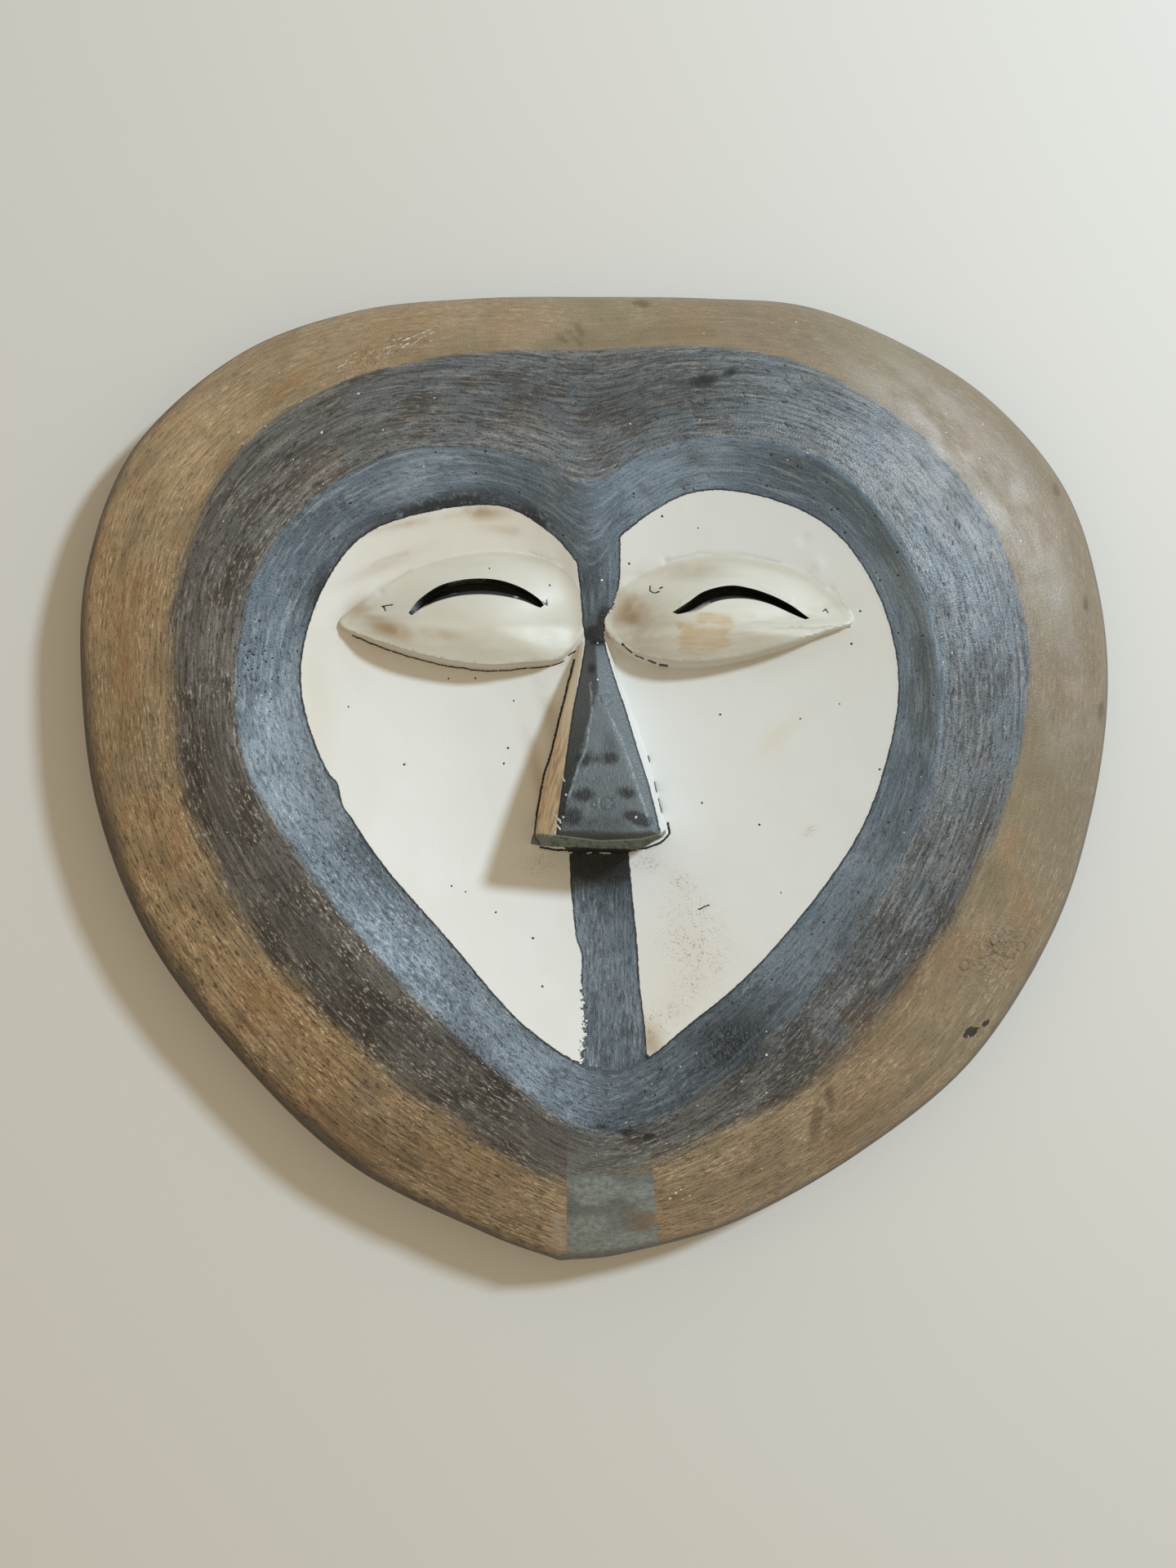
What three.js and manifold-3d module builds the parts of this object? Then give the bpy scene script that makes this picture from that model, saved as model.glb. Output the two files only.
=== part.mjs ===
// A round wooden face mask with a sunken heart-shaped face, lying on its back.
// Units are millimetres. +X is the viewer's right, +Y the top of the head and +Z out of the face.
// The origin is under the middle of the outline, on the plane that the back rim lies on.
// The mask is carved from one block, so it is one solid: a domed border that rises to a
// heart-shaped crest, a shallow dish inside the crest, two closed eyes with slits cut
// right through, a faceted nose, and a hollow back inside a flat rim.
import * as THREE from "three";
import { ConvexGeometry } from "three/addons/geometries/ConvexGeometry.js";
import { mergeVertices } from "three/addons/utils/BufferGeometryUtils.js";
import Module from "manifold-3d";

// Heights above the plane of the back rim
const WIDEST_HEIGHT = 13; // where the outline is measured
const EDGE_HEIGHT = 17; // where the border's slope would meet the outline without its rounding
const CREST_HEIGHT = 40; // along the heart-shaped crest
const FOOT_HEIGHT = 33.5; // where the slope inside the crest ends
const DISH_HEIGHT = 26.5; // middle of the face
const EYE_RISE = 10.2; // of each eye above the face around it
const LID_STEP = 0.7; // of each eye's edge above the face around it
const EYE_SUNK = 4; // of each eye's foot below the face, inside the wall

// Widths
const EDGE_ROUND = 7; // rounding from the outline onto the border
const UNDER_ROUND = 4; // rounding from the outline under to the back rim
const RIM_WIDTH = 12; // from the outline to the hollow, on the back plane
const WALL = 8.5; // thickness between face and hollow
const HOLLOW_WALL_SLOPE = 1.6; // rise over run of the hollow's side wall

// The border rises and the crest falls away faster near the outline and the crest:
// share of the height at share t of the way, with BOW from 0, straight, to 1, level at the end
const BOW = 0.5;
const bowed = (t) => t * (1 + BOW - BOW * t);

// An eye rises steeply at its edge and flattens towards its summit, by this power
const EYE_FULLNESS = 2.4;

// Every ring is measured along rays from this point
const CENTRE = { x: 0, y: 5 };

// Number of sides
const RAYS = 96; // of the block
const EYE_SIDES = 44;
const SLIT_STEPS = 14; // along each arc of a slit
const CURVE_POINTS = 360; // that a smooth loop is measured at

// Outlines, as the points that a smooth closed curve runs through, clockwise from the top
const OUTLINE = [
  [0, 142], [34, 141.5], [63, 139], [92, 127.5], [117, 111], [137.5, 87], [147.5, 59.5],
  [151, 27.5], [146.5, -8.5], [135, -44.5], [111, -82.5], [77.5, -110], [41.5, -130], [9, -139.3],
  [-7.2, -141.2], [-10.2, -141.4], [-13.2, -140.4], // close together round the corner of the chin
  [-33, -133], [-71.5, -113.5], [-103, -84], [-130.5, -48], [-146, -9.5],
  [-151, 30], [-149, 63.5], [-135.5, 97.5], [-105.5, 124.5], [-71.5, 137.5], [-35.5, 141.5],
];
const CREST = [
  [-1.5, 83], [16, 91.5], [34, 94.5], [54.5, 91.5], [72.5, 80.5], [87, 59.5], [94.5, 35],
  [94, 5.5], [84, -21.5], [64.5, -54.5], [38.5, -82.5], [3.5, -99], [-24.5, -83.5],
  [-56, -54.5], [-82, -22.5], [-96.5, 2], [-100, 26], [-95.5, 54], [-81, 75.5],
  [-59.5, 89.5], [-38, 92.5], [-17.5, 89],
];
const FOOT = [
  [-1.5, 58.5], [7.5, 68.5], [24.5, 79.5], [41.5, 80.5], [62.5, 73], [76, 58.5], [84, 37.5],
  [84, 15], [73.5, -16], [49.5, -48], [28, -67.5], [5.5, -82], [-18, -70.5], [-41, -45],
  [-64, -17.5], [-79.5, 13], [-82, 35.5], [-73.5, 58.5], [-59, 71.5], [-29.5, 77], [-13, 69.5],
];

// A ray passes through each corner of those curves: the notch and tip of the heart, and the chin
const CORNERS = [FOOT[0], FOOT[11], OUTLINE[15]];

// Where the rings of the block lie
const DISH_SHARES = [0.22, 0.45, 0.65, 0.85]; // of the way from the centre to the foot
const SLOPE_SHARES = [0, 0.3, 0.6, 0.86, 1]; // of the way from the foot to the crest
const BORDER_SHARES = [0.07, 0.2, 0.4, 0.6, 0.78]; // of the way from the crest to the outline
const EDGE_INSETS = [EDGE_ROUND, 3.5, 1.2, 0]; // from the outline, over its rounding
const UNDER_SHARES = [0.6, 0.25, 0.06, 0]; // of the widest height, down to the back rim
const HOLLOW_RUNS = [4, 8, 12]; // from the rim, up the hollow's side wall
const ROOF_SHARES = [0.82, 0.62, 0.42, 0.2]; // of the way from the centre to the rim

// Each eye is a drop with its point at the temple; its top is low, so the lower lid is steep
const EYES = {
  left: {
    summit: { x: -30, y: 42 },
    outline: [
      [-72, 44.3], [-63, 52], [-50, 60], [-30, 64.5], [-13, 62], [-4, 54], [-3, 43],
      [-9.4, 34], [-20, 32.3], [-32, 31.6], [-48, 34], [-64, 39],
    ],
  },
  right: {
    summit: { x: 29, y: 42 },
    outline: [
      [73, 45], [64, 56], [50, 61.5], [34, 63.8], [17, 60], [6, 52.5], [2.5, 43.5],
      [8, 36], [20, 32], [34, 32], [50, 35.5], [64, 40.5],
    ],
  },
};

// Where the rings of an eye lie, as shares of the way from its outline to its summit
const EYE_SHARES = [0, 0.12, 0.3, 0.52, 0.76];

// Each slit is a crescent with blunt ends between two arcs, each given by its left end, top and right end
const SLITS = {
  left: {
    upper: [[-52.4, 47], [-32.5, 56.4], [-14.8, 49.9]],
    lower: [[-50.4, 46], [-31, 51.3], [-16.2, 48.2]],
  },
  right: {
    upper: [[21.9, 46.8], [38.5, 54.3], [59.8, 45.5]],
    lower: [[24.1, 46.3], [39.5, 50.5], [57.5, 46.2]],
  },
};

// Corners of the nose: a flat front between two bevels, steep sides, and a lip below the tip
const NOSE_TIP_HEIGHT = 51;
const NOSE_SIDE_HEIGHT = 47.5; // where the bevels meet the sides
const NOSE_LIP_HEIGHT = 46.5;
const NOSE_FOOT_HEIGHT = 27.5;
const NOSE_SUNK_HEIGHT = 23; // below the face, inside the wall
const NOSE = [
  [-3, 37.5, 32.4], [0, 39, 31.6], [3.2, 36.8, 32.4], // root between the eyes
  [-0.8, 19.5, 40.2], [3.1, 19.5, 40.2], // where the flat front begins
  [-9.2, -13.8, NOSE_TIP_HEIGHT], [15.6, -14.2, NOSE_TIP_HEIGHT], // tip
  [-10.9, -16, NOSE_SIDE_HEIGHT], [17.4, -14.6, NOSE_SIDE_HEIGHT], // ends of the bevels
  [-11, -18, NOSE_LIP_HEIGHT], [1, -19, NOSE_LIP_HEIGHT], [16, -17.8, NOSE_LIP_HEIGHT], // lip
  [-17.3, -17, NOSE_FOOT_HEIGHT], [19.9, -15.4, NOSE_FOOT_HEIGHT], // feet of the sides
  [-11.5, -19, NOSE_FOOT_HEIGHT], [16, -18.4, NOSE_FOOT_HEIGHT], // foot of the underside
];

const wasm = await Module();
wasm.setup();

// A closed geometry as a manifold solid.
function solidOf(geometry) {
  const bare = geometry.index ? geometry.toNonIndexed() : geometry.clone();
  const position = new THREE.BufferGeometry().setAttribute("position", bare.getAttribute("position"));
  const merged = mergeVertices(position, 1e-4);
  return new wasm.Manifold(
    new wasm.Mesh({
      numProp: 3,
      vertProperties: merged.attributes.position.array,
      triVerts: new Uint32Array(merged.index.array),
    }),
  );
}

// A manifold solid as a geometry with flat shading.
function geometryOf(solid) {
  const mesh = solid.getMesh();
  const geometry = new THREE.BufferGeometry();
  geometry.setAttribute("position", new THREE.BufferAttribute(mesh.vertProperties, 3));
  geometry.setIndex(new THREE.BufferAttribute(mesh.triVerts, 1));
  const flat = geometry.toNonIndexed();
  flat.computeVertexNormals();
  return flat;
}

// A smooth closed curve through the points, as a list of {x, y}.
function smoothLoop(points, count = CURVE_POINTS) {
  const curve = new THREE.CatmullRomCurve3(
    points.map(([x, y]) => new THREE.Vector3(x, y, 0)),
    true,
    "catmullrom",
    0.5,
  );
  return Array.from({ length: count }, (_, i) => curve.getPoint(i / count));
}

// The distance from a point to a loop around it, at an angle, as a function of the angle.
function reach(loop, from) {
  const polar = loop
    .map((p) => [Math.atan2(p.y - from.y, p.x - from.x), Math.hypot(p.x - from.x, p.y - from.y)])
    .sort((a, b) => a[0] - b[0]);
  const turn = 2 * Math.PI;
  const last = polar[polar.length - 1];
  const first = polar[0];
  const ring = [[last[0] - turn, last[1]], ...polar, [first[0] + turn, first[1]]];
  return (angle) => {
    const a = Math.atan2(Math.sin(angle), Math.cos(angle));
    const next = ring.findIndex((entry) => entry[0] > a);
    const [a0, r0] = ring[next - 1];
    const [a1, r1] = ring[next];
    return r0 + ((r1 - r0) * (a - a0)) / (a1 - a0);
  };
}

const outlineReach = reach(smoothLoop(OUTLINE), CENTRE);
const crestReach = reach(smoothLoop(CREST), CENTRE);
const footReach = reach(smoothLoop(FOOT), CENTRE);

// Height of the carved face without eyes and nose, at a distance along a ray.
function faceHeight(angle, radius) {
  const outline = outlineReach(angle);
  const crest = crestReach(angle);
  const foot = footReach(angle);
  if (radius >= crest) {
    const inset = outline - radius;
    const slope = EDGE_HEIGHT + (CREST_HEIGHT - EDGE_HEIGHT) * bowed(inset / (outline - crest));
    const left = Math.max(0, 1 - inset / EDGE_ROUND);
    return slope - (EDGE_HEIGHT - WIDEST_HEIGHT) * (1 - Math.sqrt(1 - left * left));
  }
  if (radius >= foot) {
    return CREST_HEIGHT - (CREST_HEIGHT - FOOT_HEIGHT) * bowed((crest - radius) / (crest - foot));
  }
  return DISH_HEIGHT + (FOOT_HEIGHT - DISH_HEIGHT) * (radius / foot) ** 2;
}

// Height of the hollow's roof, at a distance along a ray.
function hollowHeight(angle, radius) {
  const wall = (outlineReach(angle) - radius - RIM_WIDTH) * HOLLOW_WALL_SLOPE;
  return Math.min(wall, faceHeight(angle, radius) - WALL);
}

// Rings of the block from the middle of the face, out over the crest and the border,
// under to the back rim, and up into the hollow. Each gives a radius and a height at an angle.
function blockRings() {
  const between = (share, inner, outer) => (a) => {
    const radius = inner(a) + (outer(a) - inner(a)) * share;
    return [radius, faceHeight(a, radius)];
  };
  const dish = DISH_SHARES.map((share) => between(share, () => 0, footReach));
  const slope = SLOPE_SHARES.map((share) => between(share, footReach, crestReach));
  const border = BORDER_SHARES.map((share) => between(share, crestReach, outlineReach));
  const rounding = EDGE_INSETS.map((inset) => (a) => {
    const radius = outlineReach(a) - inset;
    return [radius, faceHeight(a, radius)];
  });
  const under = UNDER_SHARES.map((share) => (a) => {
    const inset = UNDER_ROUND * (1 - Math.sqrt(1 - (1 - share) ** 2));
    return [outlineReach(a) - inset, WIDEST_HEIGHT * share];
  });
  const rim = [(a) => [outlineReach(a) - RIM_WIDTH, 0]];
  const sideWall = HOLLOW_RUNS.map((run) => (a) => {
    const radius = outlineReach(a) - RIM_WIDTH - run;
    return [radius, hollowHeight(a, radius)];
  });
  const roof = ROOF_SHARES.map((share) => (a) => {
    const radius = (outlineReach(a) - RIM_WIDTH) * share;
    return [radius, hollowHeight(a, radius)];
  });
  return [...dish, ...slope, ...border, ...rounding, ...under, ...rim, ...sideWall, ...roof];
}

// Evenly spread angles, with the nearest one moved onto each corner.
function rayAngles() {
  const step = (2 * Math.PI) / RAYS;
  const angles = Array.from({ length: RAYS }, (_, i) => -Math.PI + (i + 0.5) * step);
  for (const [x, y] of CORNERS) {
    const corner = Math.atan2(y - CENTRE.y, x - CENTRE.x);
    angles[Math.floor((corner + Math.PI) / step)] = corner;
  }
  return angles;
}

// A geometry from a flat list of coordinates and a flat list of corner numbers.
function indexed(positions, faces) {
  const geometry = new THREE.BufferGeometry();
  geometry.setAttribute("position", new THREE.Float32BufferAttribute(positions, 3));
  geometry.setIndex(faces);
  return geometry;
}

// The block as one closed skin: rings of points joined by triangles, closed by a point at each end.
function blockGeometry() {
  const angles = rayAngles();
  const rings = blockRings();
  const positions = [CENTRE.x, CENTRE.y, faceHeight(0, 0)];
  for (const ring of rings) {
    for (const a of angles) {
      const [radius, height] = ring(a);
      positions.push(CENTRE.x + radius * Math.cos(a), CENTRE.y + radius * Math.sin(a), height);
    }
  }
  positions.push(CENTRE.x, CENTRE.y, hollowHeight(0, 0));
  const end = positions.length / 3 - 1;
  const faces = [];
  const at = (ring, ray) => 1 + ring * RAYS + (ray % RAYS);
  for (let ray = 0; ray < RAYS; ray++) {
    faces.push(0, at(0, ray), at(0, ray + 1));
    for (let ring = 0; ring < rings.length - 1; ring++) {
      faces.push(at(ring, ray), at(ring + 1, ray), at(ring + 1, ray + 1));
      faces.push(at(ring, ray), at(ring + 1, ray + 1), at(ring, ray + 1));
    }
    faces.push(end, at(rings.length - 1, ray + 1), at(rings.length - 1, ray));
  }
  return indexed(positions, faces);
}

// Height of the carved face at a place.
function faceHeightAt(x, y) {
  return faceHeight(Math.atan2(y - CENTRE.y, x - CENTRE.x), Math.hypot(x - CENTRE.x, y - CENTRE.y));
}

// An eye: its outline shrinks towards the summit while it rises, and it is sunk into the wall below.
function eyeGeometry({ summit, outline }) {
  const clockwise = smoothLoop(outline, EYE_SIDES);
  const loop = THREE.ShapeUtils.area(clockwise) < 0 ? clockwise.reverse() : clockwise;
  const lift = (share) => LID_STEP + (EYE_RISE - LID_STEP) * (1 - (1 - share) ** EYE_FULLNESS);
  const positions = [];
  const ringAt = (share, height) => {
    for (const p of loop) {
      const x = p.x + (summit.x - p.x) * share;
      const y = p.y + (summit.y - p.y) * share;
      positions.push(x, y, faceHeightAt(x, y) + height);
    }
  };
  ringAt(0, -EYE_SUNK);
  for (const share of EYE_SHARES) ringAt(share, lift(share));
  const top = positions.length / 3;
  positions.push(summit.x, summit.y, faceHeightAt(summit.x, summit.y) + EYE_RISE);
  const bottom = top + 1;
  positions.push(summit.x, summit.y, faceHeightAt(summit.x, summit.y) - EYE_SUNK);
  const faces = [];
  const at = (ring, i) => ring * EYE_SIDES + (i % EYE_SIDES);
  for (let i = 0; i < EYE_SIDES; i++) {
    faces.push(bottom, at(0, i + 1), at(0, i));
    for (let ring = 0; ring < EYE_SHARES.length; ring++) {
      faces.push(at(ring, i), at(ring, i + 1), at(ring + 1, i + 1));
      faces.push(at(ring, i), at(ring + 1, i + 1), at(ring + 1, i));
    }
    faces.push(at(EYE_SHARES.length, i), at(EYE_SHARES.length, i + 1), top);
  }
  return indexed(positions, faces);
}

// The crescent of a slit, straight through the mask.
function slitGeometry({ upper, lower }) {
  const arc = ([a, top, b]) => {
    const control = new THREE.Vector2(2 * top[0] - (a[0] + b[0]) / 2, 2 * top[1] - (a[1] + b[1]) / 2);
    const curve = new THREE.QuadraticBezierCurve(new THREE.Vector2(...a), control, new THREE.Vector2(...b));
    return curve.getPoints(SLIT_STEPS);
  };
  const shape = new THREE.Shape([...arc(upper), ...arc(lower).reverse()]);
  return new THREE.ExtrudeGeometry(shape, { depth: 2 * CREST_HEIGHT, bevelEnabled: false });
}

// The nose: the smallest convex body over its corners, with the same foot sunk into the wall.
function noseGeometry() {
  const corners = NOSE.map(([x, y, z]) => new THREE.Vector3(x, y, z));
  const feet = NOSE.filter(([, , z]) => z < CREST_HEIGHT).map(
    ([x, y]) => new THREE.Vector3(x, y, NOSE_SUNK_HEIGHT),
  );
  return new ConvexGeometry([...corners, ...feet]);
}

function maskMesh() {
  let solid = solidOf(blockGeometry());
  for (const side of ["left", "right"]) solid = solid.add(solidOf(eyeGeometry(EYES[side])));
  solid = solid.add(solidOf(noseGeometry()));
  for (const side of ["left", "right"]) solid = solid.subtract(solidOf(slitGeometry(SLITS[side])));
  const wood = new THREE.MeshStandardMaterial({ color: 0x9a8263, roughness: 0.6, metalness: 0 });
  const mesh = new THREE.Mesh(geometryOf(solid), wood);
  mesh.name = "mask";
  return mesh;
}

const part = new THREE.Group();
part.add(maskMesh());
export default part;
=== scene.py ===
"""A round wooden face mask with worn paint, lying on its back on a pale floor.

Shapes are in millimetres, as in the part's source, until the mesh is made in metres.
+X is the viewer's right, +Y the top of the head and +Z out of the face.
"""

import math

import bpy
import numpy as np
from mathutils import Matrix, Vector
from mathutils.geometry import delaunay_2d_cdt
from mathutils.kdtree import KDTree


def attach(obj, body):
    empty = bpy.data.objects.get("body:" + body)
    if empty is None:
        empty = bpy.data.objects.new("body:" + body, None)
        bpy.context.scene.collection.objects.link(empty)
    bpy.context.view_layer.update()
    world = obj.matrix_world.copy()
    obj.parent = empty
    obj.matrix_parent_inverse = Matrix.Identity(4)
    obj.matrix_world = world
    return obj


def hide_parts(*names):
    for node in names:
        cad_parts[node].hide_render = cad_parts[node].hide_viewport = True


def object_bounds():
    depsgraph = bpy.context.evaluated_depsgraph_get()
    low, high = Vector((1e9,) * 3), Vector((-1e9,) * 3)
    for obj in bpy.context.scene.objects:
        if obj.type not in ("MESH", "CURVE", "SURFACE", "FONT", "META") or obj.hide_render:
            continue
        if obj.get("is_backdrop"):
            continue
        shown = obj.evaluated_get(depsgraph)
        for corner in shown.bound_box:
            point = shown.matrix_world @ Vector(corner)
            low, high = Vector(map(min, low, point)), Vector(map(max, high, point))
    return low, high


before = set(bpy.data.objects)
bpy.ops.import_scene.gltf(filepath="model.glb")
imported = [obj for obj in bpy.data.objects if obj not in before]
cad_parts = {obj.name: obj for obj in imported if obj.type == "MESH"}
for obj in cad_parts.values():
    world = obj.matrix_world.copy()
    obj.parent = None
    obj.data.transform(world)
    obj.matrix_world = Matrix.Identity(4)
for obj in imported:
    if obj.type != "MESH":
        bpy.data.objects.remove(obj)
cad_low, cad_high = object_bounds()

MM = 0.001
TURN = 2 * math.pi
SHARP = math.radians(42)

# Heights above the plane of the back rim
WIDEST_HEIGHT = 13
EDGE_HEIGHT = 17
CREST_HEIGHT = 40
FOOT_HEIGHT = 33.5
DISH_HEIGHT = 26.5
EYE_RISE = 10.2

# Widths
EDGE_ROUND = 7
UNDER_ROUND = 4
RIM_WIDTH = 12
WALL = 8.5
HOLLOW_WALL_SLOPE = 1.6
BOW = 0.5

# Lengths of ring space, which the streaks of the material follow
RING_RADIUS = 115
BORDER_SPAN = 52
SLOPE_SPAN = 16

# Where the rings of the edge lie: in from the outline, up its under side as shares, in over the
# back rim, and in from the rim up the hollow's side wall
EDGE_INSETS = (5.7, 4.5, 3.4, 2.5, 1.7, 1.05, 0.55, 0.2, 0)
UNDER_SHARES = (0.86, 0.7, 0.54, 0.38, 0.24, 0.13, 0.05, 0)
RIM_INSETS = (6.5, 9.2, RIM_WIDTH)
HOLLOW_RUNS = (1.2, 2.6, 4.2, 6, 8, 10, 12, 14)

# Every ring of the block is measured along rays from this point
CENTRE = np.array((0.0, 5.0))
RAYS = 540
CURVE_POINTS = 720

# Outlines, as the points that a smooth closed curve runs through, clockwise from the top
OUTLINE = [
    (0, 142), (34, 141.5), (63, 139), (92, 127.5), (117, 111), (137.5, 87), (147.5, 59.5),
    (151, 27.5), (146.5, -8.5), (135, -44.5), (111, -82.5), (77.5, -110), (41.5, -130),
    (9, -139.3), (-7.2, -141.2), (-10.2, -141.4), (-13.2, -140.4), (-33, -133), (-71.5, -113.5),
    (-103, -84), (-130.5, -48), (-146, -9.5), (-151, 30), (-149, 63.5), (-135.5, 97.5),
    (-105.5, 124.5), (-71.5, 137.5), (-35.5, 141.5),
]
CREST = [
    (-1.5, 83), (16, 91.5), (34, 94.5), (54.5, 91.5), (72.5, 80.5), (87, 59.5), (94.5, 35),
    (94, 5.5), (84, -21.5), (64.5, -54.5), (38.5, -82.5), (3.5, -99), (-24.5, -83.5),
    (-56, -54.5), (-82, -22.5), (-96.5, 2), (-100, 26), (-95.5, 54), (-81, 75.5),
    (-59.5, 89.5), (-38, 92.5), (-17.5, 89),
]
FOOT = [
    (-1.5, 58.5), (7.5, 68.5), (24.5, 79.5), (41.5, 80.5), (62.5, 73), (76, 58.5), (84, 37.5),
    (84, 15), (73.5, -16), (49.5, -48), (28, -67.5), (5.5, -82), (-18, -70.5), (-41, -45),
    (-64, -17.5), (-79.5, 13), (-82, 35.5), (-73.5, 58.5), (-59, 71.5), (-29.5, 77), (-13, 69.5),
]
CHIN = OUTLINE[15]

# Where the dark paint of the border gives way to the tan wood
DARK_EDGE = [
    (0, 122.5), (28, 123), (53.5, 119.5), (74, 110.2), (92, 97.4), (105.5, 82.3), (113.3, 70), (121, 46.7),
    (122.5, 31), (118.5, 2), (104, -32.5), (79, -68), (51, -91), (16.5, -106), (-9, -112), (-29.5, -104),
    (-64, -77.5), (-96.5, -43.5), (-114, -8), (-119.5, 28.5), (-116, 62), (-101, 92),
    (-75.5, 110.5), (-39, 120.5),
]

# The two edges of the dark stripe down the middle of the face, as (y, x) from the chin up
STRIPE_LEFT = [
    (-150, -8.4), (-100, -8.0), (-92, -4.5), (-80.8, -3.8), (-77, -3.8), (-66.8, -2.6),
    (-61, -3.8), (-49.6, -3.8), (-45, -5.4), (-31.2, -6.8), (-20.9, -7.2), (-17, -10.8),
    (-10.2, -10.2), (-4.9, -9.5), (0.8, -8.7), (7.9, -7.8), (19.5, -6.2), (26.9, -4.7),
    (36.5, -3.1), (38.9, -2.8), (44.6, -3.5), (53.7, -4.2), (60.5, -5.1), (90, -5.1),
]
STRIPE_RIGHT = [
    (-150, 20), (-112, 16.6), (-100, 15.6), (-78.1, 14.6), (-70.2, 14.2), (-58.8, 12.8), (-45, 11.9),
    (-33.5, 10.8), (-20.9, 9.6), (-17, 17.6), (-13.4, 17.5), (-9.9, 16.8), (-1.3, 14.8),
    (8.5, 11.8), (18.9, 8.8), (27.4, 6), (36.3, 3.4), (40, 2.7), (45.8, 2.9), (49.2, 5),
    (53.7, 6.6), (57.5, 7.2), (90, 7.2),
]

# Each eye is a drop with its point at the temple. Its lower side stands nearly upright: side is
# how high, and wall how wide that side is, seen from the front, and a higher fullness keeps it
# high nearer to the corners. Its slit lies between two curves.
EYES = {
    "left": {
        "summit": (-30, 42),
        "corners": ((-72, 44.3), (-3, 43)),
        "outline": [
            (-72, 44.3), (-63, 52), (-50, 60), (-30, 64.5), (-13, 62), (-4, 54), (-3, 43),
            (-9.4, 34), (-20, 32), (-32, 31.4), (-48, 34), (-64, 39.2),
        ],
        "side": 8.4,
        "fullness": 3,
        "wall": 0.9,
        "slit": (
            [(-52.2, 46.6), (-49.6, 50.2), (-44, 54.2), (-38.2, 55.9), (-32.3, 56.4), (-26.5, 55.8),
             (-20.7, 53.8), (-16, 50.9), (-14.2, 48.9)],
            [(-51.2, 45.9), (-48.4, 47.8), (-44, 49.7), (-38.2, 51.1), (-32.3, 51.5), (-26.5, 51.1),
             (-20.7, 50), (-16.6, 48.5), (-15.2, 48.1)],
        ),
    },
    "right": {
        "summit": (29, 42),
        "corners": ((73, 45), (2.5, 43.5)),
        "outline": [
            (73, 45), (64, 56), (50, 61.5), (34, 63.8), (17, 60), (6, 52.5), (2.5, 43.5),
            (8, 36), (20, 32), (34, 32), (50, 35.5), (64, 40.5),
        ],
        "side": 7.4,
        "fullness": 6,
        "wall": 2,
        "slit": (
            [(21.6, 46.6), (25.9, 49.4), (30.6, 52.6), (37.6, 54.4), (43.4, 53.7), (49.2, 51.8),
             (55.1, 48.9), (60.2, 45.2)],
            [(23, 46), (28.2, 46.8), (32.9, 49.2), (37.6, 50.3), (43.4, 50.3), (49.2, 48.9),
             (55.1, 46.4), (59, 44.8)],
        ),
    },
}
EYE_POINTS = 260
EYE_EDGE = 0.15  # height of an eye's edge where it has no steep side
SIDE_BLUR = 8  # degrees over which the height of the steep side runs out
SLIT_POINTS = 44  # along each side
SLIT_DEPTHS = (0.03, 0.1, 0.2, 0.36, 0.6, 1)  # where the rings of a slit's wall lie
SLIT_LEAN = 0.5  # share of its height that a slit loses towards the back

# The nose is the space under these planes, each through three points (x, y, z)
NOSE_MIDDLE = np.array((1.0, 0.0))
NOSE_PLANES = {
    "front": ((-0.8, 19.5, 40.2), (3.1, 19.5, 40.2), (3.2, -14.3, 51)),
    "root": ((-3, 37.8, 32.4), (3.2, 37.8, 32.4), (1, 39.6, 28.5)),
    "left bevel": ((-0.8, 19.5, 40.2), (-9.2, -13.8, 51), (-6.2, 19.5, 37.5)),
    "right bevel": ((3.1, 19.5, 40.2), (15.6, -14.2, 51), (8.6, 19.5, 37.4)),
    "left side": ((-6.2, 19.5, 37.5), (-10.2, -10, 49), (-16.6, -10.8, 27.7)),
    "right side, upper": ((8.6, 19.5, 37.4), (15.1, 6.6, 27.5), (12.2, 6.6, 42.6)),
    "right side, lower": ((16.9, -10, 48.4), (19.1, -10, 28), (15.1, 6.6, 27.5)),
    "lip": ((-9.2, -13.8, 51), (15.6, -14.2, 51), (1, -18.9, 46.5)),
    "underside": ((-11, -18.4, 45.5), (1, -18.9, 45.5), (1, -19.3, 27.5)),
    "underside, right": ((14, -18.2, 45.5), (19.9, -15.2, 36), (14, -18.7, 27.5)),
}
# The upper edge of the lip below the nose's tip, as (x, y)
LIP_LINE = [(-17.4, -15.6), (-15.4, -15), (-10.3, -15), (1.3, -16.5), (12.2, -16), (19, -14.2)]
NOSE_SOFTNESS = 0.13
CREST_SOFTNESS = 0.6
HOLLOW_SOFTNESS = 0.8
NOSE_POINTS = 220

# Corners of a rectangle around the whole outline
AREA_LOW = (-152, -143)
AREA_HIGH = (152, 143)

# Spacing of the mesh's points
BORDER_STEP = 1.6
FACE_STEP = 1.2
EYE_STEP = 0.72
NOSE_STEP = 0.52
HOLLOW_STEP = 2.3
MARK_STEP = 0.6

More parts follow.
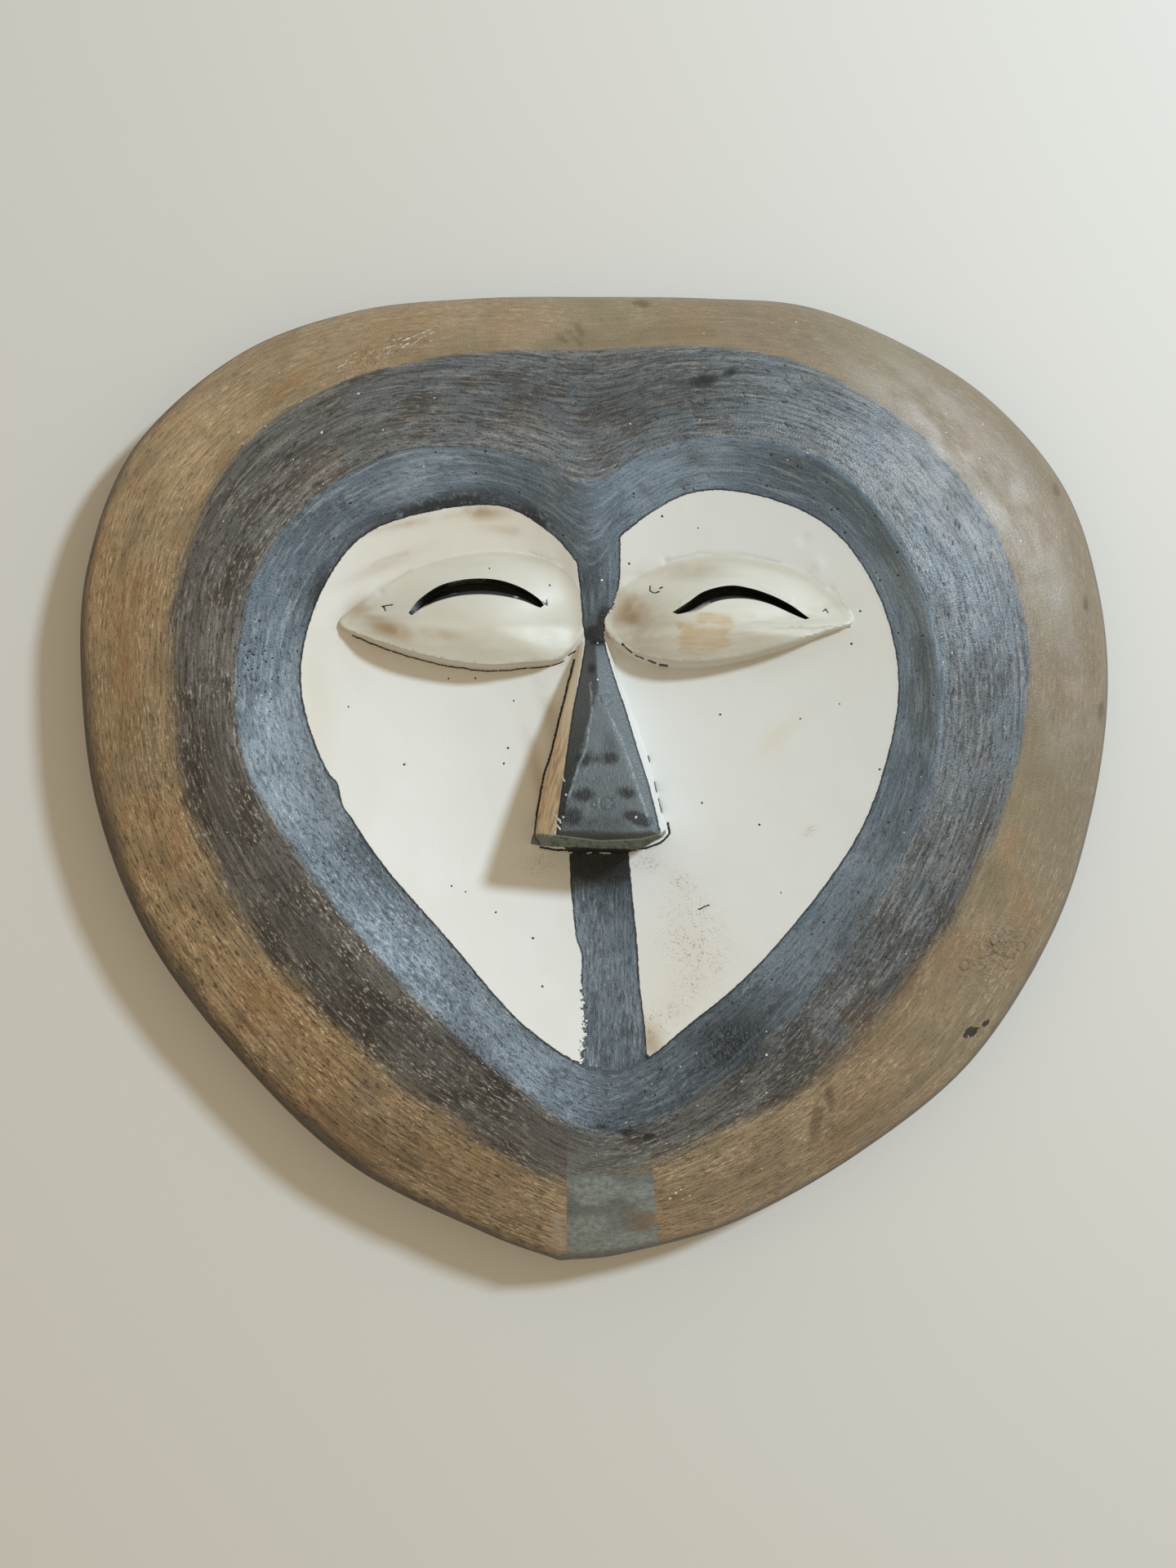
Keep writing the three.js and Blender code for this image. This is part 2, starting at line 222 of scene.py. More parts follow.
# Dents in the wood, and bumps where the depth is negative: x, y, radius and depth
DENTS = [
    (110, -73.8, 3, 1), (115.2, -71.8, 2, 0.6), (58.7, 67.7, 1.8, 0.3), (62.9, 60.4, 1.9, -0.35),
    (66.5, 54, 1.4, 0.2), (20, 62, 1.1, 0.3), (-60.5, 52.6, 1.2, 0.3), (13.5, 138.3, 2.6, 0.4),
    (-67, -40, 1.4, 0.3), (147.2, 20.1, 2.2, 0.5), (134.2, 84.3, 2, 0.4), (100, -100, 4, 0.5),
    (113.8, -45.7, 2.6, -0.3), (104.3, -42.7, 2.2, -0.2), (126.6, -44.7, 2, -0.25),
    (128.3, -55, 2.4, -0.3), (111.2, -54, 2.8, -0.2), (63, -98, 3, 0.4), (-71, 76.7, 1.6, 0.3),
]


def smooth(corners, place):
    """Points of a smooth curve through the corners, at places counted in corners."""
    start = place.astype(int)
    share = (place - start)[:, None]
    before, here, after, later = (corners[(start + k) % len(corners)] for k in (-1, 0, 1, 2))
    bend = 2 * before - 5 * here + 4 * after - later + share * (3 * (here - after) + later - before)
    return here + 0.5 * share * (after - before + share * bend)


def smooth_loop(points, count=CURVE_POINTS):
    """A smooth closed curve through the points."""
    return smooth(np.array(points, float), np.arange(count) * len(points) / count)


def smooth_line(points, count):
    """A smooth curve from the first point to the last one."""
    corners = np.array(points, float)
    corners = np.vstack((2 * corners[0] - corners[1], corners, 2 * corners[-1] - corners[-2]))
    return smooth(corners, np.linspace(1, len(points) - 1e-6, count))


def polar(x, y, centre):
    """Angle and distance from the centre."""
    return np.arctan2(y - centre[1], x - centre[0]), np.hypot(x - centre[0], y - centre[1])


def reach(loop, centre=CENTRE):
    """Distance from the centre to a loop around it, as a function of the angle."""
    angle, radius = polar(loop[:, 0], loop[:, 1], centre)
    order = np.argsort(angle)
    angle, radius = angle[order], radius[order]
    return lambda a: np.interp(a, angle, radius, period=TURN)


def loop_at(radius, angles, centre=CENTRE):
    """Points at the radii and angles around the centre."""
    return np.column_stack((centre[0] + radius * np.cos(angles), centre[1] + radius * np.sin(angles)))


outline_reach = reach(smooth_loop(OUTLINE))
crest_reach = reach(smooth_loop(CREST))
foot_reach = reach(smooth_loop(FOOT))
dark_reach = reach(smooth_loop(DARK_EDGE))


def eased(t):
    """From 0 to 1, level at both ends."""
    t = np.clip(t, 0, 1)
    return t * t * (3 - 2 * t)


def uneven(u, v, seed, layers=3, around=0):
    """A smooth uneven field between about -1 and 1, with its largest features 1 long.

    Where around is given, the field repeats after that many features along u.
    """
    rng = np.random.default_rng(seed)
    total, weight = 0, 1
    for layer in range(layers):
        grid = rng.uniform(-1, 1, (256, 256))
        i, j = np.floor(u).astype(int), np.floor(v).astype(int)
        s, t = eased(u - i), eased(v - j)
        columns = around * 2**layer or 256
        west, east = i % columns % 256, (i + 1) % columns % 256
        low = grid[west, j % 256] * (1 - s) + grid[east, j % 256] * s
        high = grid[west, (j + 1) % 256] * (1 - s) + grid[east, (j + 1) % 256] * s
        total = total + weight * (low * (1 - t) + high * t)
        u, v, weight = 2 * u, 2 * v + 31.7, weight * 0.6
    return total


def bowed(t):
    return t * (1 + BOW - BOW * t)


def dented(values, x, y, dents, sharpness=1.0):
    """The values with dents in them: x, y, radius and depth."""
    for dent_x, dent_y, size, depth in dents:
        values = values - depth * np.exp(-((x - dent_x) ** 2 + (y - dent_y) ** 2) / size**2 * sharpness)
    return values


def face_height(x, y):
    """Height of the carved face without eyes and nose."""
    angle, radius = polar(x, y, CENTRE)
    outline, crest, foot = outline_reach(angle), crest_reach(angle), foot_reach(angle)
    inset = outline - radius
    left = np.clip(1 - inset / EDGE_ROUND, 0, 1)
    border = EDGE_HEIGHT + (CREST_HEIGHT - EDGE_HEIGHT) * bowed(np.clip(inset / (outline - crest), 0, 1))
    border -= (EDGE_HEIGHT - WIDEST_HEIGHT) * (1 - np.sqrt(1 - left**2))
    fall = bowed(np.clip((crest - radius) / (crest - foot), 0, 1))
    slope = CREST_HEIGHT - (CREST_HEIGHT - FOOT_HEIGHT) * fall
    dish = DISH_HEIGHT + (FOOT_HEIGHT - DISH_HEIGHT) * (radius / foot) ** 2
    return np.where(radius >= foot, soft_min((border, slope), CREST_SOFTNESS), dish)


def hollow_height(x, y):
    """Height of the hollow's roof and side wall, with a soft corner between them."""
    angle, radius = polar(x, y, CENTRE)
    wall = (outline_reach(angle) - radius - RIM_WIDTH) * HOLLOW_WALL_SLOPE
    return soft_min((wall, face_height(x, y) - WALL), HOLLOW_SOFTNESS)


def soft_min(values, softness):
    """The lowest of the values, with the corners between them rounded."""
    values = np.stack(values)
    lowest = values.min(axis=0)
    return lowest - softness * np.log(np.exp((lowest - values) / softness).sum(axis=0))


class Eye:
    """An eye's outline around its summit, its steep lower side and its slit."""

    def __init__(self, summit, corners, outline, side, fullness, wall, slit):
        self.summit = np.array(summit, float)
        self.wall = wall
        self.loop = smooth_loop(outline, EYE_POINTS)
        self.reach = reach(self.loop, self.summit)
        (outer_x, outer_y), (inner_x, inner_y) = corners
        share = np.clip((self.loop[:, 0] - outer_x) / (inner_x - outer_x), 0, 1)
        below = self.loop[:, 1] < outer_y + (inner_y - outer_y) * share
        bulge = (1 - np.abs(2 * share**0.85 - 1) ** fullness) ** 0.7
        angle, _ = polar(self.loop[:, 0], self.loop[:, 1], self.summit)
        order = np.argsort(angle)
        turn = np.arange(360) * TURN / 360
        sides = EYE_EDGE + (side - EYE_EDGE) * bulge * below
        sides = np.interp(turn, angle[order], sides[order], period=TURN)
        window = np.hanning(2 * SIDE_BLUR + 1)
        sides = np.convolve(np.pad(sides, SIDE_BLUR, "wrap"), window / window.sum(), "valid")
        self.side_at = lambda a: np.interp(a, turn, sides, period=TURN)
        self.upper, self.lower = (smooth_line(side, SLIT_POINTS) for side in slit)

    def slit(self, depth):
        """The slit's outline, at a share of its depth from the front."""
        lean = SLIT_LEAN * (1 - (1 - depth) ** 3)
        lower = self.lower + (self.upper - self.lower) * lean
        return np.vstack((self.upper, lower[::-1]))

    def rim(self, angle, share=1.0):
        """Distance from the summit to a place on the steep side, from its foot, 0, to its top, 1."""
        edge = self.reach(angle)
        slant = (self.reach(angle + 0.01) - self.reach(angle - 0.01)) / 0.02 / edge
        return edge - share * self.wall * np.sqrt(1 + np.clip(slant, -3, 3) ** 2)

    def ring(self, share):
        """A loop along the steep side."""
        turn = -math.pi + (np.arange(EYE_POINTS) + 0.5) * TURN / EYE_POINTS
        return loop_at(self.rim(turn, share), turn, self.summit)

    def lift(self, x, y):
        """Height above the face around it."""
        angle, radius = polar(x, y, self.summit)
        edge, rim, side = self.reach(angle), self.rim(angle), self.side_at(angle)
        climb = np.clip((edge - radius) / (edge - rim), 0, 1)
        steep = np.sqrt(1 - (1 - climb) ** 2) * side
        flatness = 1.7 - 0.7 * np.clip(side / 4, 0, 1)
        dome = (EYE_RISE - side) * np.clip(1 - (radius / rim) ** 2, 0, 1) ** flatness
        return steep + dome


def plane(a, b, c):
    """Height of the plane through three points, as a function of x and y."""
    a, b, c = np.array(a), np.array(b), np.array(c)
    normal = np.cross(b - a, c - a)
    return lambda x, y: a[2] - (normal[0] * (x - a[0]) + normal[1] * (y - a[1])) / normal[2]


nose_planes = {name: plane(*corners) for name, corners in NOSE_PLANES.items()}
eyes = {side: Eye(**facts) for side, facts in EYES.items()}


def nose_height(x, y):
    return soft_min([height(x, y) for height in nose_planes.values()], NOSE_SOFTNESS)


def carved_height(x, y):
    """Height of the front with its eyes, tool marks and dents, but without the nose."""
    height = face_height(x, y)
    for eye in eyes.values():
        height = height + eye.lift(x, y)
    angle, radius = polar(x, y, CENTRE)
    inset = np.clip((outline_reach(angle) - radius) / EDGE_ROUND, 0, 1)
    rough = 0.25 + 0.75 * eased((radius - foot_reach(angle)) / 6)
    waves = 0.22 * uneven(x / 16, y / 16, 1, 2) + 0.1 * uneven(x / 5, y / 5, 2, 2)
    return dented(height + inset * rough * (waves - 0.12), x, y, DENTS, 1.5)


def front_height(x, y):
    """Height of the front with its nose and its thin marks."""
    nose = nose_height(x, y) + 0.06 * uneven(x / 4, y / 4, 3, 2)
    height = np.maximum(carved_height(x, y), nose)
    for mark in marks:
        if mark.relief:
            near, share = mark.share(x, y)
            height[near] += mark.relief * eased(share)
    return height


def nose_foot():
    """Where the nose meets the face, as points around its middle."""
    angles = -math.pi + (np.arange(NOSE_POINTS) + 0.5) * TURN / NOSE_POINTS
    radii = np.linspace(1, 48, 900)
    x = NOSE_MIDDLE[0] + radii * np.cos(angles)[:, None]
    y = NOSE_MIDDLE[1] + radii * np.sin(angles)[:, None]
    under = nose_height(x, y) < carved_height(x, y)
    return loop_at(radii[under.argmax(axis=1)], angles, NOSE_MIDDLE)


nose_loop = nose_foot()


def hexagons(step, low, high, seed):
    """Points about step apart over a rectangle, slightly uneven."""
    rows = np.arange(low[1], high[1], step * math.sqrt(3) / 2)
    columns = np.arange(low[0], high[0], step)
    x, y = np.meshgrid(columns, rows)
    x = x + (np.arange(len(rows)) % 2)[:, None] * step / 2
    shift = np.random.default_rng(seed).uniform(-0.12, 0.12, (2,) + x.shape) * step
    return np.column_stack(((x + shift[0]).ravel(), (y + shift[1]).ravel()))


def distance(points, line, closed=True):
    """Distance from each point to the nearest place on a line."""
    ends = np.roll(line, -1, axis=0) if closed else line[1:]
    starts = line if closed else line[:-1]
    along = ends - starts
    length = (along**2).sum(axis=1)
    result = np.empty(len(points))
    for first in range(0, len(points), 2000):
        off = points[first:first + 2000, None, :] - starts
        share = np.clip((off * along).sum(axis=2) / length, 0, 1)
        gap = off - share[..., None] * along
        result[first:first + 2000] = np.sqrt((gap**2).sum(axis=2).min(axis=1))
    return result


def inside(points, loop):
    """Which points lie inside a loop."""
    x0, y0 = loop.T
    x1, y1 = np.roll(loop, -1, axis=0).T
    rise = np.where(y1 == y0, 1e-9, y1 - y0)
    result = np.empty(len(points), bool)
    for first in range(0, len(points), 2000):
        x, y = points[first:first + 2000].T[..., None]
        crossed = ((y0 > y) != (y1 > y)) & (x < x0 + (y - y0) / rise * (x1 - x0))
        result[first:first + 2000] = crossed.sum(axis=1) % 2 == 1
    return result


def within(points, line, margin):
    """Which points lie in the box around a line, widened by the margin."""
    low, high = line.min(axis=0) - margin, line.max(axis=0) + margin
    return ((points > low) & (points < high)).all(axis=1)


def signed(points, loop, most=10.0):
    """Distance to a loop, positive inside it, and -most where it is farther off than that."""
    result = np.full(len(points), -most)
    near = within(points, loop, most)
    gap = distance(points[near], loop)
    result[near] = np.maximum(np.where(inside(points[near], loop), gap, -gap), -most)
    return result


def into_eyes(points, most=10.0):
    """Distance to the nearer eye's outline, positive inside it."""
    return np.maximum(*(signed(points, eye.loop, most) for eye in eyes.values()))


def apart(points, others, gap):
    """The points that have none of the others nearer than the gap."""
    tree = KDTree(len(others))
    for number, (x, y) in enumerate(others):
        tree.insert((x, y, 0), number)
    tree.balance()
    return points[[tree.find((x, y, 0))[2] > gap for x, y in points]]


class Mark:
    """A thin line or a dot: how dark, light, worn and highlit, faint or raised its middle is, and its half
    width.
    """

    def __init__(self, points, half, ink=0.0, light=0.0, worn_and_highlit=0.0, faint=0.0, relief=0.0, sway=0.12):
        self.half, self.relief = half, relief
        self.shares = {"ink": ink, "light": light, "worn_and_highlit": worn_and_highlit, "faint": faint}
        self.line = self.drawn(np.array(points, float).reshape(-1, 2), sway)

    def drawn(self, corners, sway):
        """The line with points all along it, a little shaky."""
        if len(corners) < 2:
            return corners
        along = np.append(0, np.hypot(*np.diff(corners, axis=0).T).cumsum())
        places = np.linspace(0, along[-1], max(2, math.ceil(along[-1] / MARK_STEP) + 1))
        line = np.column_stack([np.interp(places, along, values) for values in corners.T])
        shake = [uneven(line[:, 0] / 2.2, line[:, 1] / 2.2, seed, 2) for seed in (7, 8)]
        return line + sway * np.column_stack(shake)

    def mesh_points(self):
        """Points on the line and along both of its edges, or around the dot."""
        if len(self.line) < 2:
            turn = np.arange(7) * TURN / 7
            return np.vstack((self.line, loop_at(self.half, turn, self.line[0])))
        along = np.gradient(self.line, axis=0)
        across = np.column_stack((-along[:, 1], along[:, 0]))
        across *= self.half / np.hypot(*along.T)[:, None]
        return np.vstack((self.line, self.line + across, self.line - across))

    def share(self, x, y):
        """Which points are near, and how near the middle they are, from 0 to 1."""
        points = np.column_stack((x, y))
        near = within(points, self.line, self.half)
        if len(self.line) < 2:
            gap = np.hypot(*(points[near] - self.line[0]).T)
        else:
            gap = distance(points[near], self.line, closed=False)
        return near, np.clip(1 - gap / self.half, 0, 1)


def circle(x, y, radius, turns=1.0):
    """Points round a ring of the given radius."""
    turn = np.linspace(0.4, 0.4 + turns * TURN, 16)
    return loop_at(radius, turn, (x, y))


# Cracks and black lines, as the points that they run through
CRACKS = [
    [(-7.4, 35.4), (-5.6, 36.5)],
    [(15.1, 6.6), (15.6, 5.1)], [(17, -0.8), (17.5, -3.6)], [(18.2, -5.4), (18.9, -9.4)],
    [(7.6, 38.3), (10.4, 35.7)], [(11.4, 35), (13.8, 34)], [(14.9, 33.6), (17.3, 32.9)],
    [(18.4, 32.6), (20.6, 32.2)], [(-14.9, 50), (-13.4, 48.7), (-13.6, 50.3)],
    [(15.6, 54.5), (15.6, 53.2), (16.8, 52.5), (18.2, 53)], [(18.4, 54.1), (18.9, 54.3)],
    [(-59.8, 48.8), (-57.1, 49.2)], [(-59.4, 48.6), (-59, 47.5)],
    [(64.2, 47.4), (65, 47.9), (65.6, 47)], [(29.5, -36.9), (31.8, -35.7)],
]
# Thicker black lines along the nose's left foot and below its lip
SEAMS = [
    [
        (-5.8, 34.1), (-7.4, 28.3), (-10, 17.7), (-12.1, 8.7), (-14.2, 2.4), (-15.8, -5.6),
        (-16.6, -10.8), (-17.1, -16.1), (-15.4, -18),
    ],
    [(-15.4, -19.2), (-12.6, -19.9), (-8.2, -20.1)], [(-6, -20.1), (2, -20.2), (9, -20.1)],
    [(11, -20), (14.6, -19.6), (19, -17.8), (21.4, -15.4), (20.8, -12.4)],
]
# Slashes in the border at the top
SLASHES = [
    [(-7.3, 128.3), (-5.7, 126.3), (-4, 124.2)], [(-5.2, 130.8), (-3.8, 127.4)],
    [(-10.3, 126.6), (-8.5, 125.2)],
]
# Ridges of the nose where the paint is worn thin and drawn lighter as a painted highlight
RIDGES = [
    [(-1.2, 27), (-0.8, 19.4), (-2.4, 9), (-5.1, 1.7), (-7.6, -6.2)],
    [(3.4, 19.4), (7.4, 10.6), (10.6, 1.4), (14, -10)],
]
# Lines of flaked paint along the lip of the nose and the slits
FLAKED = [
    [(-9.2, -20.6), (-6.4, -20.8)], [(1.6, -20.9), (4.4, -20.9)], [(-15.8, -19.9), (-12.6, -20.5)],
    [(9.8, -20.8), (13.6, -20.5)], [(-2, -20.9), (-1, -20.9)], [(15.4, -20), (18.2, -18.9)],
    [(-47.6, 48.7), (-46, 50.6)], [(-49.4, 46.8), (-48.3, 47.6)],
    [(26.4, 47.7), (30.4, 49.3), (33.4, 50.4)], [(25.2, 47.1), (28, 47.8)],
    [(-11.2, -9.4), (-9.2, -11.6)], [(-10.6, -12), (-9.4, -13.4)], [(-8.9, 0.9), (-8.3, -0.4)],
]
# Creases in the carving, drawn faintly darker as painted shade
CREASES = [
    [(-63, 60.2), (-59.7, 62), (-53.2, 63.8)], [(-18.1, 64), (-11.5, 61.3)],
    [(-23.3, 102.3), (-15.6, 100.7), (-8.7, 98.4), (-3.7, 95.3)],
    [(-79.7, 2.2), (-76.9, -4.7), (-72.8, -10.4)],
    [(-71, 45.3), (-66, 49.9), (-60, 54.6), (-52, 59)], [(-9, 59.4), (-5, 55.4)],
    [(20, 61.9), (30, 64), (42, 63.6), (52, 61.2)], [(60, 58.2), (67, 53.4), (72, 46.6)],
]
# The raised lid above the right slit
LID = [(24, 49.4), (31, 53.2), (38.5, 55.3), (47, 54.2), (55, 50.4)]
# Rings of old knots and blisters: x, y, radius
RINGS = [
    (3, 22.4, 1.7), (2.9, -6.6, 1.7), (-0.6, -6.9, 0.8), (113.8, -45.7, 1.6), (119.2, -53.2, 2),
    (104.9, -52.9, 1.5), (126.6, -44.7, 1.4), (128.3, -55, 1.9), (122.8, -48.3, 1.5), (-71, 76.7, 1.1),
]
# Black specks on the white paint
SPECKS = [
    (18.9, 74), (9.7, 60.9), (29.1, 70.9), (74.6, 47.4), (72.3, 38.3), (-41.5, 28.7), (-34, 28.8),
    (30.5, -6.6), (-23.1, 22.5), (-24.7, 9), (-25.9, 4.6), (-53.9, 4.3), (-36.5, -31.7), (-40.4, -30),
    (-28, -37.5), (-17.5, -44.9), (-14.8, -58.4), (52.4, -31.9), (35.7, 18.5), (69.1, 21.3),
    (58.2, 17.2), (80, 2.9), (46.7, -12.8), (-29.6, 59.4), (-12.7, 54.7), (-69.5, 20.5), (8, 38),
]
# White crumbs on the dark paint
CRUMBS = [
    (-78.2, 47.8), (-78.9, 46.4), (-77.6, 49), (47.5, -76.2), (23.9, -80.2), (2, 56.2), (-76.2, 96.9),
    (-82.8, 106.8), (-100.8, 98.3), (-92.8, 99.5), (-116.8, 76.5), (-66.3, 108.3), (-47.6, 87.1),
    (0.8, 38.6), (0.8, 27.8), (-7.9, -4.2), (-8.6, -10.2), (11, -10.2), (-9.6, -11), (23, -117),
    (25, -119.4), (21.4, -118.8), (24.4, -116), (27, -118.2), (-2.8, -69.6), (-3.1, -72.5),
    (-2.5, -75.4), (-3.4, -63.8),
]


def scattered(count, seed, inner, outer, start=0.0, end=TURN):
    """Random places between two loops, between two angles."""
    rng = np.random.default_rng(seed)
    angle = rng.uniform(start, end, count)
    low, high = inner(angle), outer(angle)
    return loop_at(low + (high - low) * rng.uniform(0.05, 0.95, count), angle)


def short_lines(places, seed, shortest, longest, slant):
    """A short line at each place, turned by the slant from the rings of the carving."""
    rng = np.random.default_rng(seed)
    for place in places:
        angle = math.atan2(place[1] - CENTRE[1], place[0] - CENTRE[0]) + math.pi / 2
        angle += slant + rng.normal(0, 0.12)
        half = rng.uniform(shortest, longest) / 2 * np.array((math.cos(angle), math.sin(angle)))
        yield place - half, place + half


def eye_crack():
    """A crack just outside the foot of the left eye's steep side."""
    ring = eyes["left"].ring(-0.4)
    below = ring[(ring[:, 1] < 42.5) & (ring[:, 0] > -69.2) & (ring[:, 0] < -8.6)]
    return below[np.argsort(below[:, 0])]


def all_marks():
    """Every thin mark, as lines and dots."""
    rng = np.random.default_rng(41)
    found = [Mark(line, 0.42, ink=0.9, relief=-0.12) for line in (*CRACKS, eye_crack())]
    found += [Mark(line, 0.62, ink=1, relief=-0.12) for line in SEAMS]
    found += [Mark(line, 1.7, faint=0.8, relief=-0.1) for line in SLASHES]
    found += [Mark(line, 0.5, worn_and_highlit=1, relief=0.05) for line in RIDGES]
    found += [Mark(line, 0.42, light=1, relief=0.06) for line in FLAKED]
    found += [Mark(line, 0.9, faint=0.3, relief=-0.08) for line in CREASES]
    found += [Mark(circle(x, y, size, 0.9), 0.45, faint=0.45, relief=-0.2) for x, y, size in RINGS]
    found += [Mark([spot], rng.uniform(0.4, 0.75), ink=1) for spot in SPECKS]
    found += [Mark([spot], rng.uniform(0.4, 0.8), light=1) for spot in CRUMBS]
    found.append(Mark(LID, 0.8, relief=0.3))
    pits = scattered(110, 42, foot_reach, crest_reach)
    found += [Mark([spot], rng.uniform(0.35, 0.7), ink=1, relief=-0.12) for spot in pits]
    pits = scattered(70, 43, crest_reach, dark_reach, -0.6, 1.4)
    found += [Mark(line, 0.36, ink=0.75, relief=-0.15) for line in short_lines(pits, 44, 0.5, 1.5, -0.5)]
    sparks = scattered(90, 45, foot_reach, outline_reach)
    found += [Mark([spot], rng.uniform(0.3, 0.5), light=1) for spot in sparks]
    cluster = np.random.default_rng(46).normal((-95.2, 32.5), 4, (24, 2))
    found += [Mark([spot], 0.55, ink=1, relief=-0.2) for spot in cluster]
    # Light marks on raised wrinkles at the top left: painted glints
    share = np.random.default_rng(47).uniform(0, 1, 30)[:, None]
    wrinkle_glints = (-76, 116) + share * (30, 11) + np.random.default_rng(48).normal(0, 1.2, (30, 2))
    found += [Mark(line, 0.4, light=0.58, relief=0.12) for line in short_lines(wrinkle_glints, 49, 0.8, 2.4, 0.1)]
    return found


marks = all_marks()


def ray_angles():
    """Evenly spread angles, with the nearest one moved onto the corner of the chin."""
    angles = -math.pi + (np.arange(RAYS) + 0.5) * TURN / RAYS
    corner = math.atan2(CHIN[1] - CENTRE[1], CHIN[0] - CENTRE[0])
    angles[int((corner + math.pi) / (TURN / RAYS))] = corner
    return angles


def sheet(loops, points, holes):
    """Triangles over loops and points. The first loop bounds them, and the holes stay open."""
    places = np.vstack([*loops, points])
    edges = []
    start = 0
    for loop in loops:
        edges += [(start + i, start + (i + 1) % len(loop)) for i in range(len(loop))]
        start += len(loop)
    found = delaunay_2d_cdt([Vector(place) for place in places], edges, [], 0, 1e-6)
    number = np.full(len(places), -1)
    for new, olds in enumerate(found[3]):
        number[list(olds)] = new
    places, triangles = np.array(found[0]), np.array(found[2])
    middles = places[triangles].mean(axis=1)
    keep = inside(middles, loops[0])
    for hole in holes:
        near = within(middles, hole, 0)
        keep[near] &= ~inside(middles[near], hole)
    return places, triangles[keep], number


def front_points(rings):
    """Points over the front: finer on the eyes, on the nose and along every thin mark."""
    border = hexagons(BORDER_STEP, AREA_LOW, AREA_HIGH, 11)
    angle, radius = polar(*border.T, CENTRE)
    border = border[(radius > crest_reach(angle) + 1) & (radius < outline_reach(angle) - EDGE_ROUND - 0.8)]
    face = hexagons(FACE_STEP, AREA_LOW, AREA_HIGH, 12)
    angle, radius = polar(*face.T, CENTRE)
    face = face[radius <= crest_reach(angle) + 1]
    face = face[(into_eyes(face) < -0.8) & (signed(face, nose_loop) < -1.5)]
    fine = hexagons(EYE_STEP, (-74, 29), (75, 67), 13)
    fine = fine[(into_eyes(fine) > -1.2) & (signed(fine, nose_loop) < -0.9)]
    finest = hexagons(NOSE_STEP, (-20, -22), (23, 42), 14)
    finest = finest[signed(finest, nose_loop) > -1.4]
    thin = np.vstack([mark.mesh_points() for mark in marks])
    angle, radius = polar(*thin.T, CENTRE)
    thin = thin[radius < outline_reach(angle) - EDGE_ROUND - 0.5]
    for eye in eyes.values():
        thin = thin[signed(thin, eye.slit(0), 1.0) < -0.1]
    thin = apart(thin, rings, 0.16)
    base = apart(np.vstack((border, face, fine, finest)), np.vstack((rings, thin)), 0.26)
    return np.vstack((base, thin))


def front_sheet(angles):
    """The front, out to where its edge starts to round over."""
    boundary = loop_at(outline_reach(angles) - EDGE_ROUND, angles)
    slits = [eye.slit(0) for eye in eyes.values()]
    eye_rings = [eye.ring(share) for eye in eyes.values() for share in (0, 0.3, 1)]
    loops = [boundary, nose_loop, *slits, *eye_rings]
    return sheet(loops, front_points(np.vstack(loops[1:])), slits)


def hollow_sheet(angles, inner_inset):
    """The roof of the hollow, inside the rings of its side wall."""
    boundary = loop_at(outline_reach(angles) - inner_inset, angles)
    slits = [eye.slit(1) for eye in eyes.values()]
    points = hexagons(HOLLOW_STEP, (-140, -130), (140, 130), 15)
    angle, radius = polar(*points.T, CENTRE)
    points = points[radius < outline_reach(angle) - inner_inset - 1.2]
    return sheet([boundary, *slits], apart(points, np.vstack(slits), 0.9), slits)


def gouges(x, y):
    """Depth of the shallow scoops that a gouge left in the hollow."""
    step, shift, depth, stretch, radius_squared = 15, 4.5, 0.9, 1.3, 75
    seeds = hexagons(step, (-150, -150), (150, 150), 21)
    seeds = seeds + np.random.default_rng(22).uniform(-shift, shift, seeds.shape)
    off = ((x[:, None] - seeds[:, 0]) / stretch) ** 2 + (y[:, None] - seeds[:, 1]) ** 2
    return depth * np.clip(1 - off.min(axis=1) / radius_squared, 0, 1)


class Skin:
    """Points, faces and map places, gathered part by part.

    Each point also has two shares: back, of bare wood behind, and cut, of the inside of a slit.
    """

    def __init__(self):
        self.points, self.back, self.cut = [], [], []
        self.faces, self.places, self.count = [], [], 0

    def add_points(self, xyz, back=0.0, cut=0.0):
        start = self.count
        self.points.append(xyz)
        self.back.append(np.full(len(xyz), back))
        self.cut.append(np.full(len(xyz), cut))
        self.count += len(xyz)
        return start

    def add_faces(self, faces, places):
        self.faces += faces.tolist()
        self.places.append(places.reshape(-1, 2))


# Where each part of the skin lies on its map: the scale and the corner of its island, and the
# width and the height of its rows where it is made of strips
FRONT_MAP = {"scale": 1 / 460, "corner": (0.005, 0.37)}
HOLLOW_MAP = {"scale": 1 / 900, "corner": (0.675, 0.64)}
EDGE_MAP = {"scale": 1 / 960, "corner": (0.01, 0.28), "width": 900, "height": 2.6}
WALL_MAPS = (
    {"scale": 1 / 300, "corner": (0.68, 0.4), "width": 90, "height": 3},
    {"scale": 1 / 300, "corner": (0.68, 0.5), "width": 90, "height": 3},
)


def flat_places(points, faces, place, mirror=False):
    """Map places of faces seen straight on."""
    flat = points[faces][..., :2] * ((-1, 1) if mirror else (1, 1))
    return (flat - AREA_LOW) * place["scale"] + place["corner"]


def strip(skin, upper, lower, row, place):
    """A band of four-sided faces between two rings of point numbers."""
    count = len(upper)
    here = np.arange(count)
    after = (here + 1) % count
    faces = np.column_stack((upper[here], lower[here], lower[after], upper[after]))
    along = np.column_stack((here, here, here + 1, here + 1)) / count
    down = np.array((row, row + 1, row + 1, row)) * place["height"]
    places = np.dstack((along * place["width"], np.broadcast_to(down, along.shape)))
    skin.add_faces(faces, places * place["scale"] + place["corner"])


